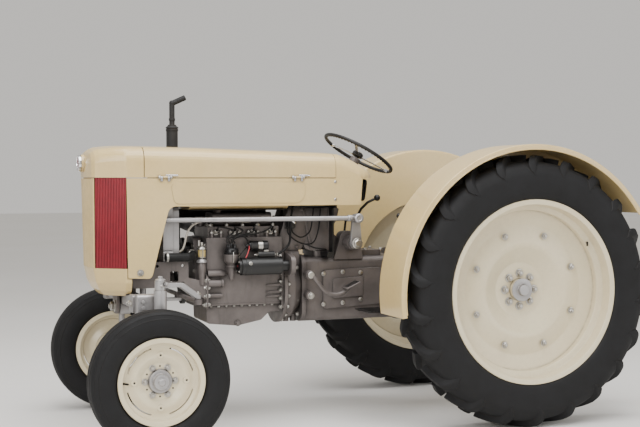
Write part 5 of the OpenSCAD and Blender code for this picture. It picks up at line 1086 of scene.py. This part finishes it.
rod_way = (rod_foot - rod_top).normalized()
rod_sleeve = turned([(0, 0), (13, 0), (16, 3), (16, 90), (13, 93), (0, 93)], 28)
piece("lift_rod_sleeves", at_rear(both_sides(joined(
    moved(rod_sleeve, tuple(rod_top + rod_way * 150), tuple(rod_way)),
    moved(hex_bolt(28, 14, False), tuple(rod_top + rod_way * 246), tuple(rod_way))))), engine_enamel,
      "lift_rods", 30)
linch_ring = [(9 + 2 * math.cos(a), 9 + 2 * math.sin(a))
              for a in np.linspace(0, math.tau, 10, endpoint=False)]
pin_head = turned([(0, 0), (14, 0), (14, 4), (0, 4)], 24)
piece("lift_pins", at_rear(both_sides(moved(
    joined(pin_head, ring_turned(linch_ring, 24)), (-393.9, 262.2, 983.9), LEFT))), zinc_plate,
      "lift_rods")
piece("lift_cover_bolts", at_rear(joined(
    bolts([(x, y, 1000.2) for x in (140, 240, 340) for y in (-92, 92)], UP, 17, 8),
    bolts([(x, y, 1075.2) for x in (-120, 90) for y in (-52, 52)], UP, 17, 8))), zinc_plate)
piece("drawbar_bolts", at_rear(joined(
    bolts([(x, y, 472.2) for x in (-107, -47) for y in (-70, 70)], UP, 17, 8),
    bolts([(x, y, 419.8) for x in (-107, -47) for y in (-70, 70)], DOWN, 17, 8))), zinc_plate)
piece("drum_bolts", both_sides(at_rear(bolts(
    [(150 * math.cos(a), 479.8, 745 + 150 * math.sin(a)) for a in np.radians(np.arange(22.5, 360, 45.0))],
    RIGHT, 15, 8))), zinc_plate)

# Wheel discs: dark discs painted as the shade inside their holes, and pressed bosses


def seated(node, place, way):
    """Where a line from a place, along a way, first meets a node of the tractor."""
    start = Vector((FRONT_AXLE + place[0], place[1], place[2])) / 1000
    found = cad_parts[node].ray_cast(start, Vector(way))
    return tuple(np.array(found[1]) * 1000 - (FRONT_AXLE, 0, 0))


for side in ("left", "right"):
    rim_name, body = "front_rim_" + side, "front_wheel_" + side
    out = 1 if side == "left" else -1
    hub_height = FRONT_HUB[2]
    hole_shades, bosses = [], []
    for k in range(6):
        a = math.radians(30 + 60 * k)
        spot = seated(rim_name, (76 * math.cos(a), out * 720, hub_height + 76 * math.sin(a)), (0, -out, 0))
        hole_shades.append(moved(turned([(0, -1), (4.6, -1), (4.6, 0.25), (0, 0.25)], 20), spot, (0, out, 0)))
    for k in range(4):
        a = math.radians(90 * k)
        spot = seated(rim_name, (132 * math.cos(a), out * 720, hub_height + 132 * math.sin(a)), (0, -out, 0))
        bosses.append(moved(
            ring_turned([(7, -4), (18, -4), (17, 0.2), (14, 1.6), (9, 2.0), (7, 0.6)], 36), spot,
            (0, out, 0)))
        hole_shades.append(moved(turned([(0, -2), (5.4, -2), (5.4, 0.3), (0, 0.3)], 20), spot, (0, out, 0)))
        bosses.append(moved(
            ring_turned([(5.2, -3), (8.5, -3), (8.0, 0.9), (5.4, 0.7)], 30), spot, (0, out, 0)))
    # Dark discs on the wheel's face: painted shade standing in for the holes
    piece(body + "_hole_shades", joined(*hole_shades), stove_black_and_shade, body)
    piece(body + "_bosses", joined(*bosses), wheel_enamel, body, 50)

# Fenders: rolled outer bead and the bolts of their feet
fender_edge = [
    (math.cos(math.radians(a)) * 775.5, math.sin(math.radians(a)) * 775.5) for a in range(-7, 148, 3)]
piece("fender_beads",
      both_sides(at_rear(tube([(x, 838.6, 745 + z) for x, z in fender_edge], 4.6, 10, smooth=False))),
      cream_enamel, crease=50)
piece("fender_bolts", both_sides(at_rear(joined(
    bolts([(x, 426, 855.2) for x in (-22, 22)], UP, 17, 8),
    bolts([(-54, 541.3, 1268), (54, 541.3, 1268)], RIGHT, 17, 8)))), zinc_plate)

# Steering pedestal: the grey casting under the dash, with the regulator and the wires in front of it

pedestal_side = [(-1196, 962), (-1120, 948.6), (-1000, 948.6), (-968, 962), (-924, 1050), (-884, 1180),
                 (-894, 1197), (-930, 1197), (-1010, 1197), (-1078, 1197), (-1150, 1197), (-1176, 1188),
                 (-1160, 1120), (-1120, 1062), (-1196, 1000)]
piece("steering_pedestal", joined(
    upright(slab(pedestal_side, -92, -60, 5, 3)), upright(slab(pedestal_side, 60, 92, 5, 3)),
    upright(slab([(-1060, 1180), (-900, 1180), (-893, 1196), (-1150, 1196), (-1160, 1180)], -60, 60, 3)),
    *[upright(slab([(a, z), (a + 14, z), (b + 14, 1190), (b, 1190)], -101, -88, 3)) for a, b, z in (
        (-1118, -1118, 1070), (-1010, -960, 960))]), engine_enamel, crease=30)
brace_side = [(-806, 1017), (-867, 1199.7), (-960, 1199.7), (-968, 1017), (-940, 957), (-836, 957)]
piece("tray_braces", both_sides(joined(
    mirrored(upright(slab(brace_side, 93, 99, 1.5))),
    bolts([(-862, 99.2, 975), (-914, 99.2, 975), (-884, 99.2, 1186), (-942, 99.2, 1186)], LEFT, 15, 7))),
      engine_enamel)
piece("regulator", joined(
    chest((-892, 103, 1084), (-846, 145, 1128), 4, 3),
    chest((-886, 145, 1090), (-852, 153, 1122), 3),
    chest((-896, 99.3, 1078), (-842, 104, 1134), 1.5)), black_enamel, crease=30)
piece("regulator_clip", moved(chest((-4, -22, 0), (4, 22, 5), 1.5), (-869, 153.3, 1124), LEFT, 52),
      chrome_plate)
wire_paths = [
    [(-852, 120, 1084), (-856, 128, 1050), (-900, 132, 1010), (-960, 128, 990), (-1010, 124, 1004),
     (-1040, 118, 1080), (-1052, 116, 1192)],
    [(-872, 124, 1084), (-884, 134, 1052), (-930, 136, 1030), (-980, 130, 1060), (-1000, 120, 1120),
     (-1010, 116, 1194)],
    [(-962, 128, 990), (-1000, 136, 972), (-1040, 140, 964), (-1080, 132, 958)]]
piece("pedestal_wires", joined(*[tube(path, 4.0, 10, 9.0) for path in wire_paths]), hose_rubber)

# Camera, light and floor


def studio():
    """A pale floor, a pale room and three soft lamps."""
    floor_mesh = bpy.data.meshes.new("floor")
    reach = 40.0
    floor_mesh.from_pydata(
        [(-reach, -reach, 0), (reach, -reach, 0), (reach, reach, 0), (-reach, reach, 0)], [],
        [(0, 1, 2, 3)])
    floor = bpy.data.objects.new("floor", floor_mesh)
    bpy.context.scene.collection.objects.link(floor)
    paper, tree, shader, place = new_finish("studio_paper", Roughness=0.85)
    tone = noise_mask(tree, place, 2500, 0.3, 0.7)
    tree.links.new(
        blend_colour(tree, tone, linear("#E4E2DE"), linear("#E8E6E3")), shader.inputs["Base Color"])
    floor_mesh.materials.append(paper)
    world = bpy.data.worlds.new("studio_room")
    bpy.context.scene.world = world
    world.use_nodes = True
    sky = world.node_tree.nodes["Background"]
    sky.inputs["Color"].default_value = linear("#F1EEE9")
    sky.inputs["Strength"].default_value = 0.80
    # Each lamp's name, place, aim, side in metres and power in watts
    for name, place, aim, size, power in (
            ("overhead_softbox", (0.6, 1.6, 5.6), (0.2, 0.0, 0.8), 5.0, 470.0),
            ("key_softbox", (4.6, 5.2, 3.4), (0.5, 0.0, 0.9), 3.2, 230.0),
            ("fill_softbox", (-4.2, 5.0, 2.2), (-0.2, 0.0, 0.8), 3.4, 90.0)):
        lamp = bpy.data.lights.new(name, "AREA")
        lamp.shape = "SQUARE"
        lamp.size = size
        lamp.energy = power
        holder = bpy.data.objects.new(name, lamp)
        bpy.context.scene.collection.objects.link(holder)
        holder.location = place
        holder.rotation_euler = (Vector(aim) - Vector(place)).to_track_quat("-Z", "Y").to_euler()


def photo_camera():
    """The camera of the photo: 1.36 m high, 6.4 m to the left of the tractor, turned towards its tail."""
    lens = bpy.data.cameras.new("photo_camera")
    sensor_width, photo_width, focal_pixels = 36.0, 640.0, 1177.0
    lens.sensor_width = sensor_width
    lens.lens = focal_pixels / photo_width * sensor_width
    camera = bpy.data.objects.new("photo_camera", lens)
    bpy.context.scene.collection.objects.link(camera)
    camera.location = Vector((FRONT_AXLE + 1310, 6370, 1364)) / 1000
    yaw, pitch = math.radians(20.67), math.radians(1.73)
    look = Vector((-math.sin(yaw) * math.cos(pitch), -math.cos(yaw) * math.cos(pitch), -math.sin(pitch)))
    camera.rotation_euler = look.to_track_quat("-Z", "Y").to_euler()
    bpy.context.scene.camera = camera


studio()
photo_camera()
